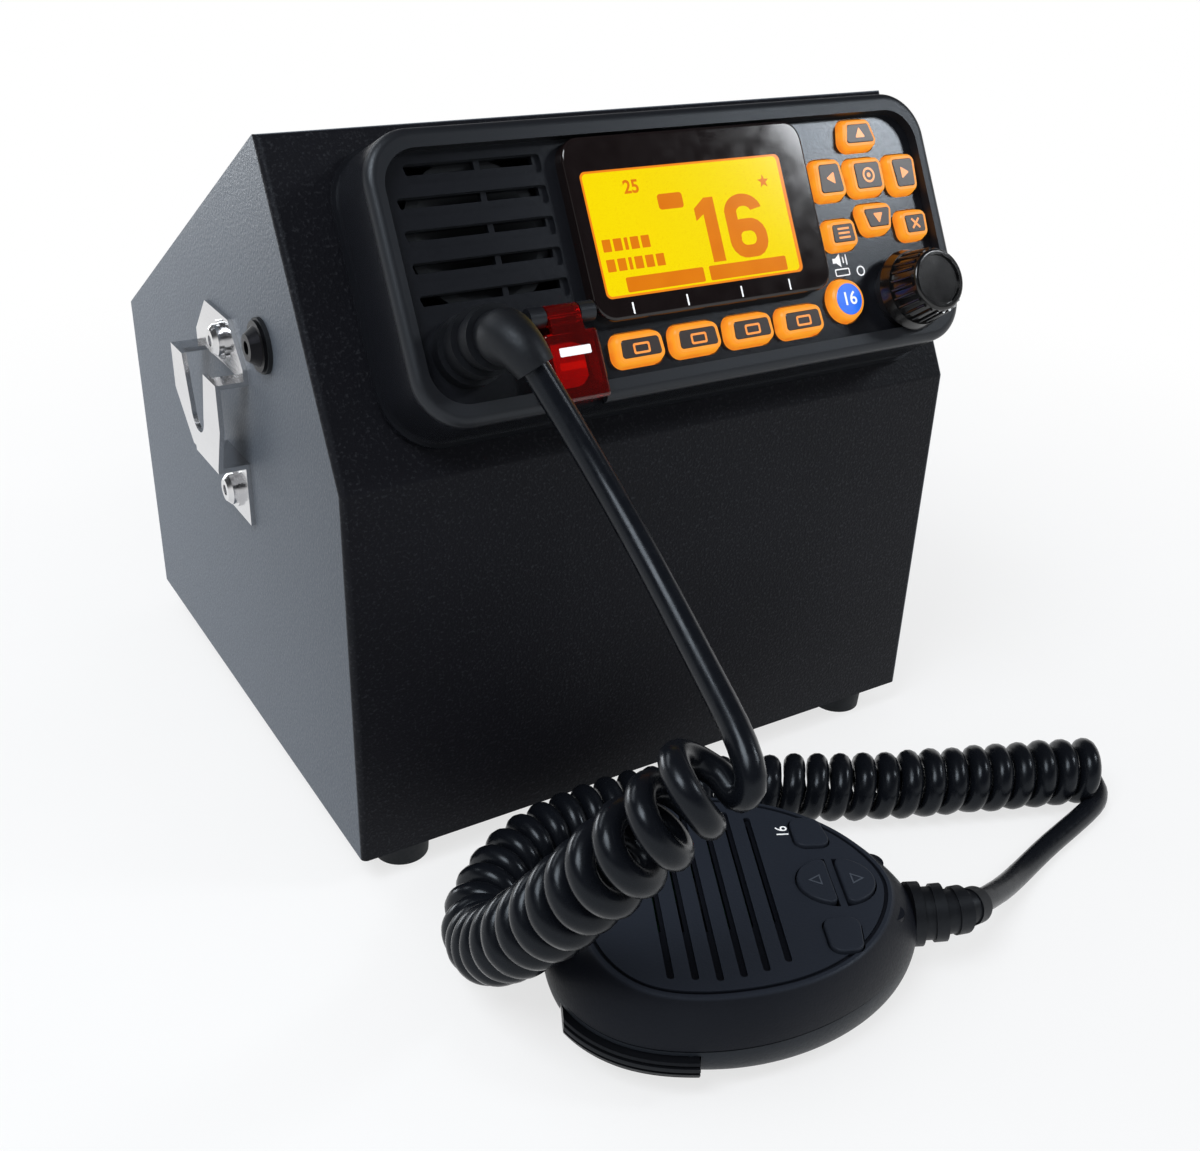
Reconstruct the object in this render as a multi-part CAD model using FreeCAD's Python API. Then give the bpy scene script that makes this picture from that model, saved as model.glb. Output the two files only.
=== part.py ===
import FreeCAD, Part
import math
import os

# A VHF marine radio, flush mounted in the sloping face of a sheet-metal desk cabinet.
# Its fist microphone lies face up in front of the cabinet, on the end of a coiled cord.
#
# Millimetres. +Z up, +X to the right of someone facing the radio, +Y away from them.
# The origin is on the table, under the middle of cabinet and microphone together.

os.makedirs("parts", exist_ok=True)
V = FreeCAD.Vector

# ---------------------------------------------------------------- cabinet
cabinet_width = 175.0
cabinet_depth = 168.0
front_height = 99.0  # the upright part of the front, below the slope
slant_angle = 29.16  # of the sloping face, from upright
slant_length = 79.0
rear_height = 96.0
cabinet_middle_x = 2.1  # the cabinet's place from the origin
cabinet_front_y = -39.1
sheet = 1.5  # thickness of the folded steel
bend_radius = 1.6
flange = 18.0  # width of the in-turned flanges
seam = 0.3  # gap between a cover and what it drops into

foot_diameter = 15.0
foot_height = 8.0
foot_edge = 14.5  # foot centre from the side of the cabinet
foot_front = 10.0  # foot centre from the front or the back
foot_recess_radius = 4.2
foot_recess_depth = 4.5
foot_screw_radius = 2.0
foot_screw_head_radius = 3.6
foot_screw_head_height = 2.2

cover_screw_radius = 1.5
cover_screw_head_radius = 2.9
cover_screw_head_height = 1.7
cover_screw_length = 7.0

# ---------------------------------------------------------------- radio, in the frame of the face
# u to the right, v up the slope, n out of the panel, from the middle of the radio's outline
radio_right = 4.0  # radio centre right of the cabinet's middle
radio_up = 40.0  # radio centre up the slope from the bend
radio_width = 156.5
radio_height = 66.5
radio_corner = 13.0
face_height = 19.0  # top of the bezel's rim above the panel
gasket_thickness = 0.8
bezel_draft = 1.5
bezel_edge = 2.2
bezel_wall = 2.5
lip_width = 0.7
lip_height = 1.6
recess_width = 146.5
recess_height = 54.5
recess_corner = 8.5
recess_depth = 2.8

cutout_width = 144.0
cutout_height = 52.0
cutout_corner = 4.0

slot_count = 5
slot_pitch = 6.9
slot_top_v = 22.5
slot_left = -70.5
slot_right = -34.5
slot_height = 4.2
slot_depth = 0.9
slit_height = 1.9
slit_rib_u = -49.0
slit_rib = 1.4

window_u = 2.5
window_v = 5.8
window_width = 67.0
window_height = 41.5
window_corner = 5.0
window_rise = 3.6  # above the floor of the recess
window_boss_margin = 3.2
glass_width = 54.6
glass_height = 28.5
glass_u = 0.0
glass_v = 4.75
lcd_margin = 3.4
lcd_depth = 3.4

key_rise = 2.4  # above the floor of the recess
key_draft = 0.8  # how far each side leans in over that height
key_edge = 0.5
key_gap = 0.25
key_ledge = 0.35
key_ledge_height = 1.2
key_travel = 0.8
mat_gap = 0.3  # under a pressed key
mat_thickness = 1.2
board_thickness = 1.6
board_left = -31.0
board_right = 72.5
board_half_height = 26.0

# name: (u, v, width, height, share of the width lost at the top, share lost at the bottom, corner)
face_keys = {
    "soft_key_1": (-21.2, -21.3, 14.2, 7.8, 0.06, 0.0, 2.6),
    "soft_key_2": (-5.5, -21.3, 14.2, 7.8, 0.06, 0.0, 2.6),
    "soft_key_3": (10.0, -21.3, 14.2, 7.8, 0.06, 0.0, 2.6),
    "soft_key_4": (25.4, -21.3, 14.2, 7.8, 0.06, 0.0, 2.6),
    "channel_up_key": (55.3, 22.1, 12.6, 8.2, 0.28, 0.0, 2.4),
    "channel_down_key": (55.5, 0.8, 12.0, 8.2, 0.0, 0.28, 2.4),
    "enter_key": (55.3, 11.5, 11.6, 10.0, 0.0, 0.0, 2.6),
    "left_key": (43.2, 11.7, 10.8, 10.6, 0.16, 0.0, 2.6),
    "right_key": (67.2, 11.2, 10.4, 10.6, 0.0, 0.16, 2.6),
    "menu_key": (43.5, -2.0, 10.4, 8.0, 0.08, 0.0, 2.4),
    "clear_key": (67.3, -1.9, 10.0, 8.0, 0.0, 0.08, 2.4),
}
round_key_u = 40.8
round_key_v = -18.2
round_key_radius = 5.5

knob_u = 60.0
knob_v = -18.6
knob_base_radius = 10.2
knob_base_height = 2.6
knob_radius = 8.6
knob_front_radius = 7.6
knob_height = 14.3  # from the recess floor
knob_gap = 3.8  # under the knob, room for its push and clear of the rim
knob_boss_radius = 8.6
knob_boss_gap = 0.4  # left under a pushed knob
knob_dish_radius = 6.2
knob_dish_depth = 0.5
knob_ribs = 24
knob_rib_radius = 0.5
shaft_radius = 3.0
shaft_fit = 0.05
shaft_reach = 7.5  # how far the shaft goes into the knob
push_travel = 0.6
encoder_width = 12.0
encoder_height = 3.0

hinge_v = -11.7
hinge_left = -48.7
hinge_right = -32.5
hinge_end = 3.8  # length of each fixed knuckle
hinge_radius = 2.3
hinge_rise = 3.7  # its middle above the recess floor
hinge_pin_radius = 0.9
hinge_gap = 0.3
flap_left = -46.8
flap_right = -33.4
flap_bottom_v = -31.0
flap_top_n = 22.4
flap_wall = 1.2
flap_floor_gap = 0.4
flap_side_top_v = -15.8
distress_key_width = 9.0
distress_key_height = 9.6
distress_key_v = -22.3
distress_key_rise = 3.2

speaker_u = -52.5
speaker_v = 8.8
speaker_radius = 17.0
speaker_rim = 1.6
speaker_depth = 6.9
magnet_radius = 9.0

post_radius = 3.5
post_u = 69.5
post_v = 24.8
post_screw_radius = 1.5
post_screw_head_radius = 2.8
post_screw_head = 1.8

chassis_width = 138.0
chassis_bottom_v = -22.5
chassis_top_v = 15.0
chassis_depth = 91.0  # behind the panel
chassis_neck = 3.0  # behind the panel, sized by the cut-out
chassis_clearance = 6.0
chassis_flange_width = 148.0
chassis_flange_height = 58.0
chassis_flange_back = 3.0
chassis_flange_front = 6.5
fin_count = 14
fin_height = 7.0
fin_thickness = 2.0
fin_start = 20.0

side_bolt_depth = 28.4  # behind the panel
side_bolt_v = -0.6
side_bolt_radius = 2.5
side_bolt_grip = 10.0
side_hole_gap = 0.1
side_head_radius = 6.0
side_head_height = 3.0
side_washer_radius = 6.6
side_washer_thickness = 1.0
side_spacer_radius = 6.0

# ---------------------------------------------------------------- inside and behind the cabinet
battery_width = cabinet_width - 24.0
battery_depth = 94.0
battery_height = 65.0
battery_rear_gap = 1.5
strap_width = 16.0
strap_thickness = 1.5
strap_foot = 7.5
socket_z = 82.0
socket_x = 48.0
socket_radius = 7.9
socket_length = 12.0
socket_flange_radius = 11.0
socket_flange = 2.0
socket_inside = 16.0
inlet_x = -48.0
inlet_radius = 6.0
inlet_rim_radius = 8.0
inlet_rim = 2.0
inlet_inside = 14.0

# ---------------------------------------------------------------- microphone hanger, on the left side
hanger_sheet = 1.2
hanger_stand = 7.0  # space between the wall and the front plate
hanger_front_y = 57.5  # along the side, from the cabinet's front
hanger_rear_y = 94.0
hanger_top_z = 106.5
hanger_plate_bottom_z = 83.0
hanger_arm = 6.0
hanger_slot_radius = 5.2
hanger_slot_y = 75.8
hanger_slot_bottom_z = 88.4
hanger_slot_mouth = 9.0  # half width of the slot's mouth
hanger_tip_z = 119.5
hanger_tip_y = 75.0
hanger_tip_half = 9.0
hanger_tab_front_y = 62.0
hanger_tab_rear_y = 80.0
hanger_tab_bottom_z = 66.0
hanger_screw_y = 72.2
hanger_screw_upper_z = 112.8
hanger_screw_lower_z = 72.6
hanger_screw_radius = 2.0
hanger_head_radius = 4.0
hanger_head_height = 2.2
hanger_washer_radius = 4.8
hanger_washer = 0.8

# ---------------------------------------------------------------- microphone, in its own frame
# x towards the cord, y to the far side, z up from the table, from the middle of its length
mic_x = -24.8  # from the middle of the cabinet's front
mic_y = -67.6
mic_turn = -26.0
mic_thickness = 25.0
mic_joint_z = 13.0
mic_gasket = 0.6
mic_wall = 2.2
mic_cord_z = 14.5
# half outlines (x, y) from the blunt end to the cord: at the joint, and round the flat face
mic_joint_half = [
    (-44.5, 0.0), (-43.3, 13.0), (-38.5, 24.5), (-29.0, 32.8), (-16.0, 36.3), (-2.0, 35.9),
    (10.0, 32.8), (22.0, 27.0), (32.0, 19.5), (40.0, 10.0), (43.5, 0.0),
]
mic_face_half = [
    (-37.0, 0.0), (-36.2, 12.5), (-32.5, 23.0), (-25.5, 30.4), (-15.0, 33.6), (-3.0, 33.4),
    (8.0, 31.2), (18.0, 26.8), (26.5, 20.0), (33.0, 10.5), (35.8, 0.0),
]
mic_solid_end = 36.0  # the case is solid beyond this, round the cord
mic_contact_x = 38.5  # where its narrow end touches the table
mic_button_x = -20.0
mic_button_radius = 9.0
mic_button_disc = 1.8
mic_button_neck_radius = 4.5
mic_button_height = 3.7

mic_slot_first_x = -18.9
mic_slot_pitch = 5.15
mic_slot_half = (27.8, 28.4, 29.0, 28.2, 26.8, 24.4)
mic_slot_width = 1.6
mic_slot_depth = 1.2
mic_groove_width = 0.9
mic_groove_depth = 0.7

mic_key_rise = 0.9
mic_key_travel = 0.7
mic_key_gap = 0.35
mic_corner_key_x = 20.9
mic_corner_key_y = 17.6
mic_corner_key_length = 8.6
mic_corner_key_width = 10.8
mic_oval_x = 23.0
mic_oval_half_length = 9.0
mic_oval_half_width = 7.8
mic_oval_rib = 1.6
mic_mat_thickness = 1.2
mic_board_thickness = 1.6

ptt_start_x = -41.0
ptt_end_x = -13.0
ptt_end_y = -10.0  # round the blunt end
ptt_bottom_z = 6.4
ptt_top_gap = 0.9  # below the joint
ptt_proud = 2.2
ptt_depth = 5.4
ptt_stroke_room = 1.8  # behind the pad, for its swing
ptt_gap = 0.35
ptt_groove = 0.45
ptt_pin_radius = 0.8
ptt_pin_gap = 0.1
ptt_pivot = (-15.0, -35.3)  # its upright axis, near the end towards the cord
ptt_swing = 3.5  # degrees

# ---------------------------------------------------------------- cord
cord_diameter = 5.8
coil_diameter = 18.5
boot_u = -62.5
boot_v = -16.0

# routes from the middle of the cabinet's front, at the table
upper_points = [
    (-57.5, -30.5, 141.0),
    (-52.0, -39.0, 128.0),
    (-49.6, -60.0, 112.0),
    (-50.5, -83.0, 98.5),
    (-52.4, -97.5, 92.5),
    (-54.4, -104.6, 87.5),
    (-55.2, -101.5, 82.5),
]
coil_points = [
    (-57.2, -99.7, 92.0),
    (-65.5, -98.6, 84.5),
    (-72.1, -95.0, 75.0),
    (-76.2, -87.8, 63.3),
    (-78.6, -76.5, 47.0),
    (-79.6, -62.0, 29.5),
    (-78.0, -49.0, 16.5),
    (-74.6, -38.0, 10.4),
    (-70.9, -31.3, 9.7),
    (-58.5, -20.8, 9.6),
    (-45.2, -14.9, 9.6),
    (-20.0, -13.3, 9.6),
    (9.6, -21.2, 9.6),
    (39.6, -37.7, 9.6),
    (70.6, -50.5, 9.6),
    (101.8, -62.5, 9.6),
]
lower_points = [
    (103.4, -57.6, 13.2),
    (106.0, -57.9, 8.6),
    (106.2, -61.0, 4.2),
    (104.2, -65.6, 3.3),
    (98.5, -69.5, 3.3),
    (87.5, -72.3, 3.3),
    (72.0, -75.8, 3.3),
    (55.5, -81.2, 4.6),
    (41.5, -87.0, 9.4),
    (28.8, -90.9, 14.2),
]

# ---------------------------------------------------------------- derived places
half_width = cabinet_width / 2
slant = math.radians(slant_angle)
recess_n = face_height - recess_depth
ceiling_n = recess_n - bezel_wall
ledge_top_n = ceiling_n - key_gap
ledge_bottom_n = ledge_top_n - key_ledge_height
mat_top_n = ledge_bottom_n - key_travel - mat_gap
mat_bottom_n = mat_top_n - mat_thickness
board_bottom_n = mat_bottom_n - board_thickness
hinge_n = recess_n + hinge_rise
fin_top_v = chassis_top_v + fin_height


def slant_point(along, behind=0.0):
    """(y, z) of a point up the sloping face from the bend, and behind its surface."""
    y = along * math.sin(slant) + behind * math.cos(slant)
    z = front_height + along * math.cos(slant) - behind * math.sin(slant)
    return y, z


def face_placement():
    y, z = slant_point(radio_up)
    place = V(cabinet_middle_x + radio_right, cabinet_front_y + y, foot_height + z)
    return FreeCAD.Placement(place, FreeCAD.Rotation(V(1, 0, 0), 90 - slant_angle))


def on_table(x, y, z):
    return V(cabinet_middle_x + x, cabinet_front_y + y, z)


def mic_placement():
    return FreeCAD.Placement(on_table(mic_x, mic_y, 0), FreeCAD.Rotation(V(0, 0, 1), mic_turn))


# the microphone's back slopes, so that it rests on its button and its narrow end
mic_slope = mic_button_height / (mic_contact_x - mic_button_x - mic_button_radius)


def mic_back(x):
    """Height of the microphone's sloping back."""
    return (mic_contact_x - x) * mic_slope


upper_route = [on_table(*p) for p in upper_points]
coil_route = [on_table(*p) for p in coil_points]
lower_route = [on_table(*p) for p in lower_points]


face = face_placement()
mic = mic_placement()
parts = {}


# ---------------------------------------------------------------- helpers
def moved(shape, placement):
    """A copy of a shape, built in a local frame, in the frame of the whole."""
    return shape.transformed(placement.toMatrix())


def in_cabinet(shape):
    return moved(shape, FreeCAD.Placement(V(cabinet_middle_x, cabinet_front_y, foot_height), FreeCAD.Rotation()))


def box(x0, x1, y0, y1, z0, z1):
    return Part.makeBox(x1 - x0, y1 - y0, z1 - z0, V(x0, y0, z0))


def rod(radius, z0, z1, x=0.0, y=0.0):
    return Part.makeCylinder(radius, z1 - z0, V(x, y, z0))


def rod_x(radius, x0, x1, y=0.0, z=0.0):
    return Part.makeCylinder(radius, x1 - x0, V(x0, y, z), V(1, 0, 0))


def rounded_polygon(corners, radius, z):
    """A closed wire through the corners at height z, each corner rounded."""
    edges = []
    count = len(corners)
    starts = []
    for i in range(count):
        before = V(*corners[i - 1], z)
        here = V(*corners[i], z)
        after = V(*corners[(i + 1) % count], z)
        back = (before - here).normalize()
        ahead = (after - here).normalize()
        half = back.getAngle(ahead) / 2
        away = radius / math.tan(half)
        middle = here + (back + ahead).normalize() * (radius / math.sin(half) - radius)
        starts.append((here + back * away, middle, here + ahead * away))
    for i, (first, middle, last) in enumerate(starts):
        edges.append(Part.Arc(first, middle, last).toShape())
        edges.append(Part.makeLine(last, starts[(i + 1) % count][0]))
    return Part.Wire(edges)


def rounded_rectangle(width, height, radius, z, x=0.0, y=0.0):
    w, h = width / 2, height / 2
    corners = [(x - w, y - h), (x + w, y - h), (x + w, y + h), (x - w, y + h)]
    return rounded_polygon(corners, radius, z)


def plate(wire, thickness):
    return Part.Face(wire).extrude(V(0, 0, thickness))


def fused(shapes):
    whole = shapes[0].multiFuse(list(shapes[1:]))
    return whole.removeSplitter()


def profile(front, slope_face, slope_rear, rear, base):
    """The side outline (y, z), with each of its five edges moved inward by the given distance."""
    corners = [(0, 0), (0, front_height), slant_point(slant_length)]
    corners += [(cabinet_depth, rear_height), (cabinet_depth, 0)]
    lines = []
    for i, inset in enumerate((front, slope_face, slope_rear, rear, base)):
        a, b = corners[i], corners[(i + 1) % 5]
        length = math.dist(a, b)
        along = ((b[0] - a[0]) / length, (b[1] - a[1]) / length)
        lines.append(((a[0] + inset * along[1], a[1] - inset * along[0]), along))
    points = []
    for (p, d), (q, e) in zip([lines[-1]] + lines[:-1], lines):
        t = ((q[0] - p[0]) * e[1] - (q[1] - p[1]) * e[0]) / (d[0] * e[1] - d[1] * e[0])
        points.append((p[0] + t * d[0], p[1] + t * d[1]))
    return points


def prism(points, x0, x1):
    wire = Part.makePolygon([V(x0, y, z) for y, z in points + points[:1]])
    return Part.Face(wire).extrude(V(x1 - x0, 0, 0))


def screw(head_radius, head_height, radius, length):
    """A pan-head screw along +Z: its head is below z = 0 and its shank above."""
    head = rod(head_radius, -head_height, 0)
    rim = [e for e in head.Edges if abs(e.BoundBox.ZMax + head_height) < 1e-6]
    head = head.makeChamfer(head_height * 0.5, rim)
    drive = rod(head_radius * 0.35, -head_height, -head_height * 0.45)
    return fused([head.cut(drive), rod(radius, 0, length)])


def turned_to(shape, place, direction):
    """A shape built along +Z, put at a place with +Z along a direction."""
    return moved(shape, FreeCAD.Placement(place, FreeCAD.Rotation(V(0, 0, 1), direction)))


def tube(points, diameter, name):
    """A tube along straight runs joined by tangent arcs, each as large as its runs allow."""
    edges = []
    last = points[0]
    radii = []
    length = 0.0
    for before, here, after in zip(points, points[1:], points[2:]):
        back = (before - here).normalize()
        ahead = (after - here).normalize()
        half = back.getAngle(ahead) / 2
        run = 0.45 * min(before.distanceToPoint(here), here.distanceToPoint(after))
        radius = run * math.tan(half)
        radii.append(radius)
        middle = here + (back + ahead).normalize() * (radius / math.sin(half) - radius)
        start, end = here + back * run, here + ahead * run
        edges.append(Part.LineSegment(last, start).toShape())
        edges.append(Part.Arc(start, middle, end).toShape())
        length += last.distanceToPoint(start) + radius * (math.pi - 2 * half)
        last = end
    edges.append(Part.LineSegment(last, points[-1]).toShape())
    length += last.distanceToPoint(points[-1])
    direction = points[1] - points[0]
    ring = Part.Wire([Part.Circle(points[0], direction, diameter / 2).toShape()])
    solid = Part.Wire(edges).makePipeShell([ring], True, False)
    expected = math.pi * diameter**2 / 4 * length
    print(name, "length %.0f mm, radii" % length, [round(r, 1) for r in radii])
    print(name, "volume over section times length: %.4f" % (solid.Volume / expected))
    return solid


# ---------------------------------------------------------------- cabinet
def cabinet_shell():
    """Front, sloping face and both sides, welded from folded sheet, with in-turned flanges."""
    t = sheet
    outer = prism(profile(0, 0, 0, 0, 0), -half_width, half_width)
    bends = []
    for edge in outer.Edges:
        on_front = all(abs(p.Point.y) < 1e-6 for p in edge.Vertexes)
        on_slope = all(
            abs(p.Point.y * math.cos(slant) - (p.Point.z - front_height) * math.sin(slant)) < 1e-6
            for p in edge.Vertexes
        )
        at_base = all(abs(p.Point.z) < 1e-6 for p in edge.Vertexes)
        if (on_front or on_slope) and not at_base:
            bends.append(edge)
    outer = outer.makeFillet(bend_radius, bends)
    beyond = 5.0
    inner_half = half_width - t
    shell = outer.cut(prism(profile(t, t, -beyond, -beyond, -beyond), -inner_half, inner_half))
    rim = prism(profile(t, t, t, t, 0), -inner_half, inner_half)
    rim = rim.cut(prism(profile(0, 0, 2 * t, 2 * t, t), -half_width, half_width))
    opening = inner_half - flange
    keep = t + flange
    rim = rim.cut(prism(profile(keep, keep, -beyond, -beyond, keep), -opening, opening))
    rim = rim.cut(prism(profile(keep, keep, keep, keep, -beyond), -opening, opening))
    shell = in_cabinet(fused([shell, rim]))
    hole = plate(rounded_rectangle(cutout_width, cutout_height, cutout_corner, -10), 20)
    shell = shell.cut(moved(hole, face))
    shell = shell.cut(side_bolt_rods(side_bolt_radius + side_hole_gap, 20.0))
    for x, y in foot_places():
        shell = shell.cut(in_cabinet(rod(foot_screw_radius, -1, t + 1, x, y)))
    for place, direction in cover_screw_places():
        shell = shell.cut(in_cabinet(turned_to(rod(cover_screw_radius, -1, 10), place, direction)))
    for z in (hanger_screw_upper_z, hanger_screw_lower_z):
        shell = shell.cut(in_cabinet(rod_x(hanger_screw_radius, -half_width - 1, -half_width + 3, hanger_screw_y, z)))
    return shell


def foot_places():
    return [
        (side * (half_width - foot_edge), y)
        for y in (foot_front, cabinet_depth - foot_front)
        for side in (-1, 1)
    ]


def cover_screw_places():
    """Where each rear-cover screw sits, and the direction its shank goes."""
    x = half_width - sheet - flange / 2
    ridge = slant_point(slant_length)
    eave = (cabinet_depth, rear_height)
    fall = math.atan2(ridge[1] - eave[1], eave[0] - ridge[0])
    down = V(0, -math.sin(fall), -math.cos(fall))
    places = []
    for side in (-1, 1):
        for share in (0.2, 0.8):
            y = ridge[0] + share * (eave[0] - ridge[0])
            z = ridge[1] + share * (eave[1] - ridge[1])
            places.append((V(side * x, y, z), down))
        for share in (0.25, 0.8):
            places.append((V(side * x, cabinet_depth, share * rear_height), V(0, -1, 0)))
    return places


def rear_cover():
    """The sloping top and the rear wall, one folded sheet between the sides."""
    half = half_width - sheet - seam
    cover = prism(profile(sheet, sheet, 0, 0, 0), -half, half)
    cover = cover.cut(prism(profile(-5, -5, sheet, sheet, -5), -half_width, half_width))
    for place, direction in cover_screw_places():
        cover = cover.cut(turned_to(rod(cover_screw_radius, -1, 10), place, direction))
    for x, radius in ((socket_x, socket_radius), (inlet_x, inlet_radius)):
        hole = Part.makeCylinder(radius, 10, V(x, cabinet_depth - 5, socket_z), V(0, 1, 0))
        cover = cover.cut(hole)
    return in_cabinet(cover)


def base_plate():
    """The floor, resting on the in-turned flanges."""
    half = half_width - sheet - seam
    floor = box(-half, half, sheet + seam, cabinet_depth - 2 * sheet - seam, sheet, 2 * sheet)
    for x, y in foot_places():
        floor = floor.cut(rod(foot_screw_radius, 0, 10, x, y))
    return in_cabinet(floor)


def feet():
    """Four round rubber feet, each with a recess for its screw."""
    solids = []
    for x, y in foot_places():
        foot = Part.makeCone(foot_diameter / 2 - 0.5, foot_diameter / 2, foot_height, V(x, y, -foot_height))
        foot = foot.cut(rod(foot_recess_radius, -foot_height - 1, foot_recess_depth - foot_height, x, y))
        foot = foot.cut(rod(foot_screw_radius, -foot_height, 1, x, y))
        solids.append(in_cabinet(foot))
    return Part.makeCompound(solids)


def foot_screws():
    length = foot_height - foot_recess_depth + 2 * sheet - seam
    solids = []
    for x, y in foot_places():
        one = screw(foot_screw_head_radius, foot_screw_head_height, foot_screw_radius, length)
        one.translate(V(x, y, foot_recess_depth - foot_height))
        solids.append(in_cabinet(one))
    return Part.makeCompound(solids)


def cover_screws():
    solids = []
    for place, direction in cover_screw_places():
        one = screw(cover_screw_head_radius, cover_screw_head_height, cover_screw_radius, cover_screw_length)
        solids.append(in_cabinet(turned_to(one, place, direction)))
    return Part.makeCompound(solids)


def battery_places():
    """Front, rear, bottom and top of the battery, in the cabinet."""
    rear = cabinet_depth - 2 * sheet - battery_rear_gap
    bottom = 2 * sheet
    return rear - battery_depth, rear, bottom, bottom + battery_height


def battery_pack():
    """A sealed battery, standing on the floor behind and below the radio."""
    front, rear, bottom, top = battery_places()
    half = battery_width / 2
    case = box(-half, half, front, rear, bottom, top)
    case = case.makeFillet(2.0, [e for e in case.Edges if abs(e.BoundBox.ZLength - battery_height) < 1e-6])
    lid = [box(-half, half, front, rear, top - 7, top - 6).cut(
        box(-half + 0.6, half - 0.6, front + 0.6, rear - 0.6, top - 8, top - 5))]
    return in_cabinet(case.cut(lid[0]))


def battery_strap():
    """A steel strap over the battery, screwed to the floor on both sides."""
    front, rear, bottom, top = battery_places()
    y0 = rear - 2.2 * strap_width
    y1 = y0 + strap_width
    half = battery_width / 2
    t = strap_thickness
    pieces = [box(-half - t, half + t, y0, y1, top, top + t)]
    for side in (-1, 1):
        inner, outer = side * half, side * (half + t)
        pieces.append(box(min(inner, outer), max(inner, outer), y0, y1, bottom, top))
        inner, outer = side * half, side * (half + t + strap_foot)
        pieces.append(box(min(inner, outer), max(inner, outer), y0, y1, bottom, bottom + t))
    return in_cabinet(fused(pieces).cut(box(-half, half, y0, y1, bottom, top)))


def antenna_socket():
    """A threaded bulkhead socket for the antenna, through the rear wall."""
    y = cabinet_depth

    def ring(radius, y0, y1):
        return Part.makeCylinder(radius, y1 - y0, V(socket_x, y0, socket_z), V(0, 1, 0))

    body = fused([
        ring(socket_radius, y - socket_inside, y + socket_length),
        ring(socket_flange_radius, y, y + socket_flange),
        ring(socket_flange_radius - 1, y - sheet - 3.0, y - sheet),
    ])
    body = body.cut(ring(socket_radius - 2.0, y + socket_length - 9.0, y + socket_length))
    pin = ring(2.0, y + socket_length - 9.0, y + socket_length - 1.5)
    return in_cabinet(fused([body, pin]))


def supply_inlet():
    """A round low-voltage inlet through the rear wall, to charge the battery."""
    y = cabinet_depth

    def ring(radius, y0, y1):
        return Part.makeCylinder(radius, y1 - y0, V(inlet_x, y0, socket_z), V(0, 1, 0))

    body = fused([
        ring(inlet_radius, y - inlet_inside, y + inlet_rim),
        ring(inlet_rim_radius, y, y + inlet_rim),
        ring(inlet_rim_radius, y - sheet - 2.5, y - sheet),
    ])
    body = body.cut(ring(2.8, y - 8.0, y + inlet_rim))
    return in_cabinet(fused([body, ring(1.0, y - 8.0, y - 1.0)]))


# ---------------------------------------------------------------- radio case
def bezel_posts(radius, n0, n1):
    return [
        rod(radius, n0, n1, su * post_u, sv * post_v)
        for su in (-1, 1)
        for sv in (-1, 1)
    ]


def key_outline(name, grow, n):
    u, v, width, height, top, bottom, corner = face_keys[name]
    w, h = width / 2 + grow, height / 2 + grow
    wt, wb = w * (1 - top), w * (1 - bottom)
    corners = [(u - wb, v - h), (u + wb, v - h), (u + wt, v + h), (u - wt, v + h)]
    return rounded_polygon(corners, corner + grow, n)


def radio_bezel():
    """The moulded front case: drafted walls, a sunk face, speaker slots and the key holes."""
    w, h, r = radio_width, radio_height, radio_corner
    back = rounded_rectangle(w, h, r, gasket_thickness)
    d = bezel_draft
    front = rounded_rectangle(w - 2 * d, h - 2 * d, r - d, face_height)
    body = Part.makeLoft([back, front], True, True)
    body = body.makeFillet(bezel_edge, [e for e in body.Edges if e.BoundBox.ZMin > face_height - 1e-6])
    g = 2 * lip_width
    lip = plate(rounded_rectangle(w + g, h + g, r + lip_width, gasket_thickness), lip_height)
    body = body.fuse(lip)
    t = 2 * bezel_wall
    hollow = plate(rounded_rectangle(w - t, h - t, r - bezel_wall, 0), ceiling_n)
    body = body.cut(hollow)
    recess = rounded_rectangle(recess_width, recess_height, recess_corner, recess_n)
    body = body.cut(plate(recess, recess_depth + 1))
    for post in bezel_posts(post_radius, chassis_flange_front, ceiling_n):
        body = body.fuse(post)
    for hole in bezel_posts(post_screw_radius, 0, ceiling_n):
        body = body.cut(hole)
    boss_top = recess_n + knob_gap - push_travel - knob_boss_gap
    body = fused([body, rod(knob_boss_radius, recess_n - 0.5, boss_top, knob_u, knob_v)] + hinge_knuckles())
    cuts = speaker_slots()
    m = 2 * window_boss_margin
    cuts.append(plate(rounded_rectangle(window_width - m, window_height - m, 3.0, 0, window_u, window_v), 30))
    for name in face_keys:
        cuts.append(plate(key_outline(name, key_gap, 0), 30))
    cuts.append(rod(round_key_radius + key_gap, 0, 30, round_key_u, round_key_v))
    cuts.append(plate(distress_outline(key_gap, 0), 30))
    cuts.append(rod(shaft_radius + 0.6, 0, 30, knob_u, knob_v))
    cuts.append(rod(boot_core_radius, 0, 30, boot_u, boot_v))
    notch_side = flap_floor_gap * 2
    cuts.append(box(flap_left - notch_side, flap_right + notch_side, -radio_height, -20, recess_n, 40))
    for cut in cuts:
        body = body.cut(cut)
    return moved(body, face)


boot_core_radius = 5.6


def hinge_knuckles():
    """The two fixed knuckles of the distress cover's hinge."""
    knuckles = []
    for u0, u1 in ((hinge_left, hinge_left + hinge_end), (hinge_right - hinge_end, hinge_right)):
        barrel = rod_x(hinge_radius, u0, u1, hinge_v, hinge_n)
        foot = box(u0, u1, hinge_v - hinge_radius * 0.8, hinge_v + hinge_radius * 0.8, recess_n - 0.5, hinge_n)
        bore = rod_x(hinge_pin_radius + 0.02, u0 - 1, u1 + 1, hinge_v, hinge_n)
        knuckles.append(barrel.fuse(foot).cut(bore))
    return knuckles


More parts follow.
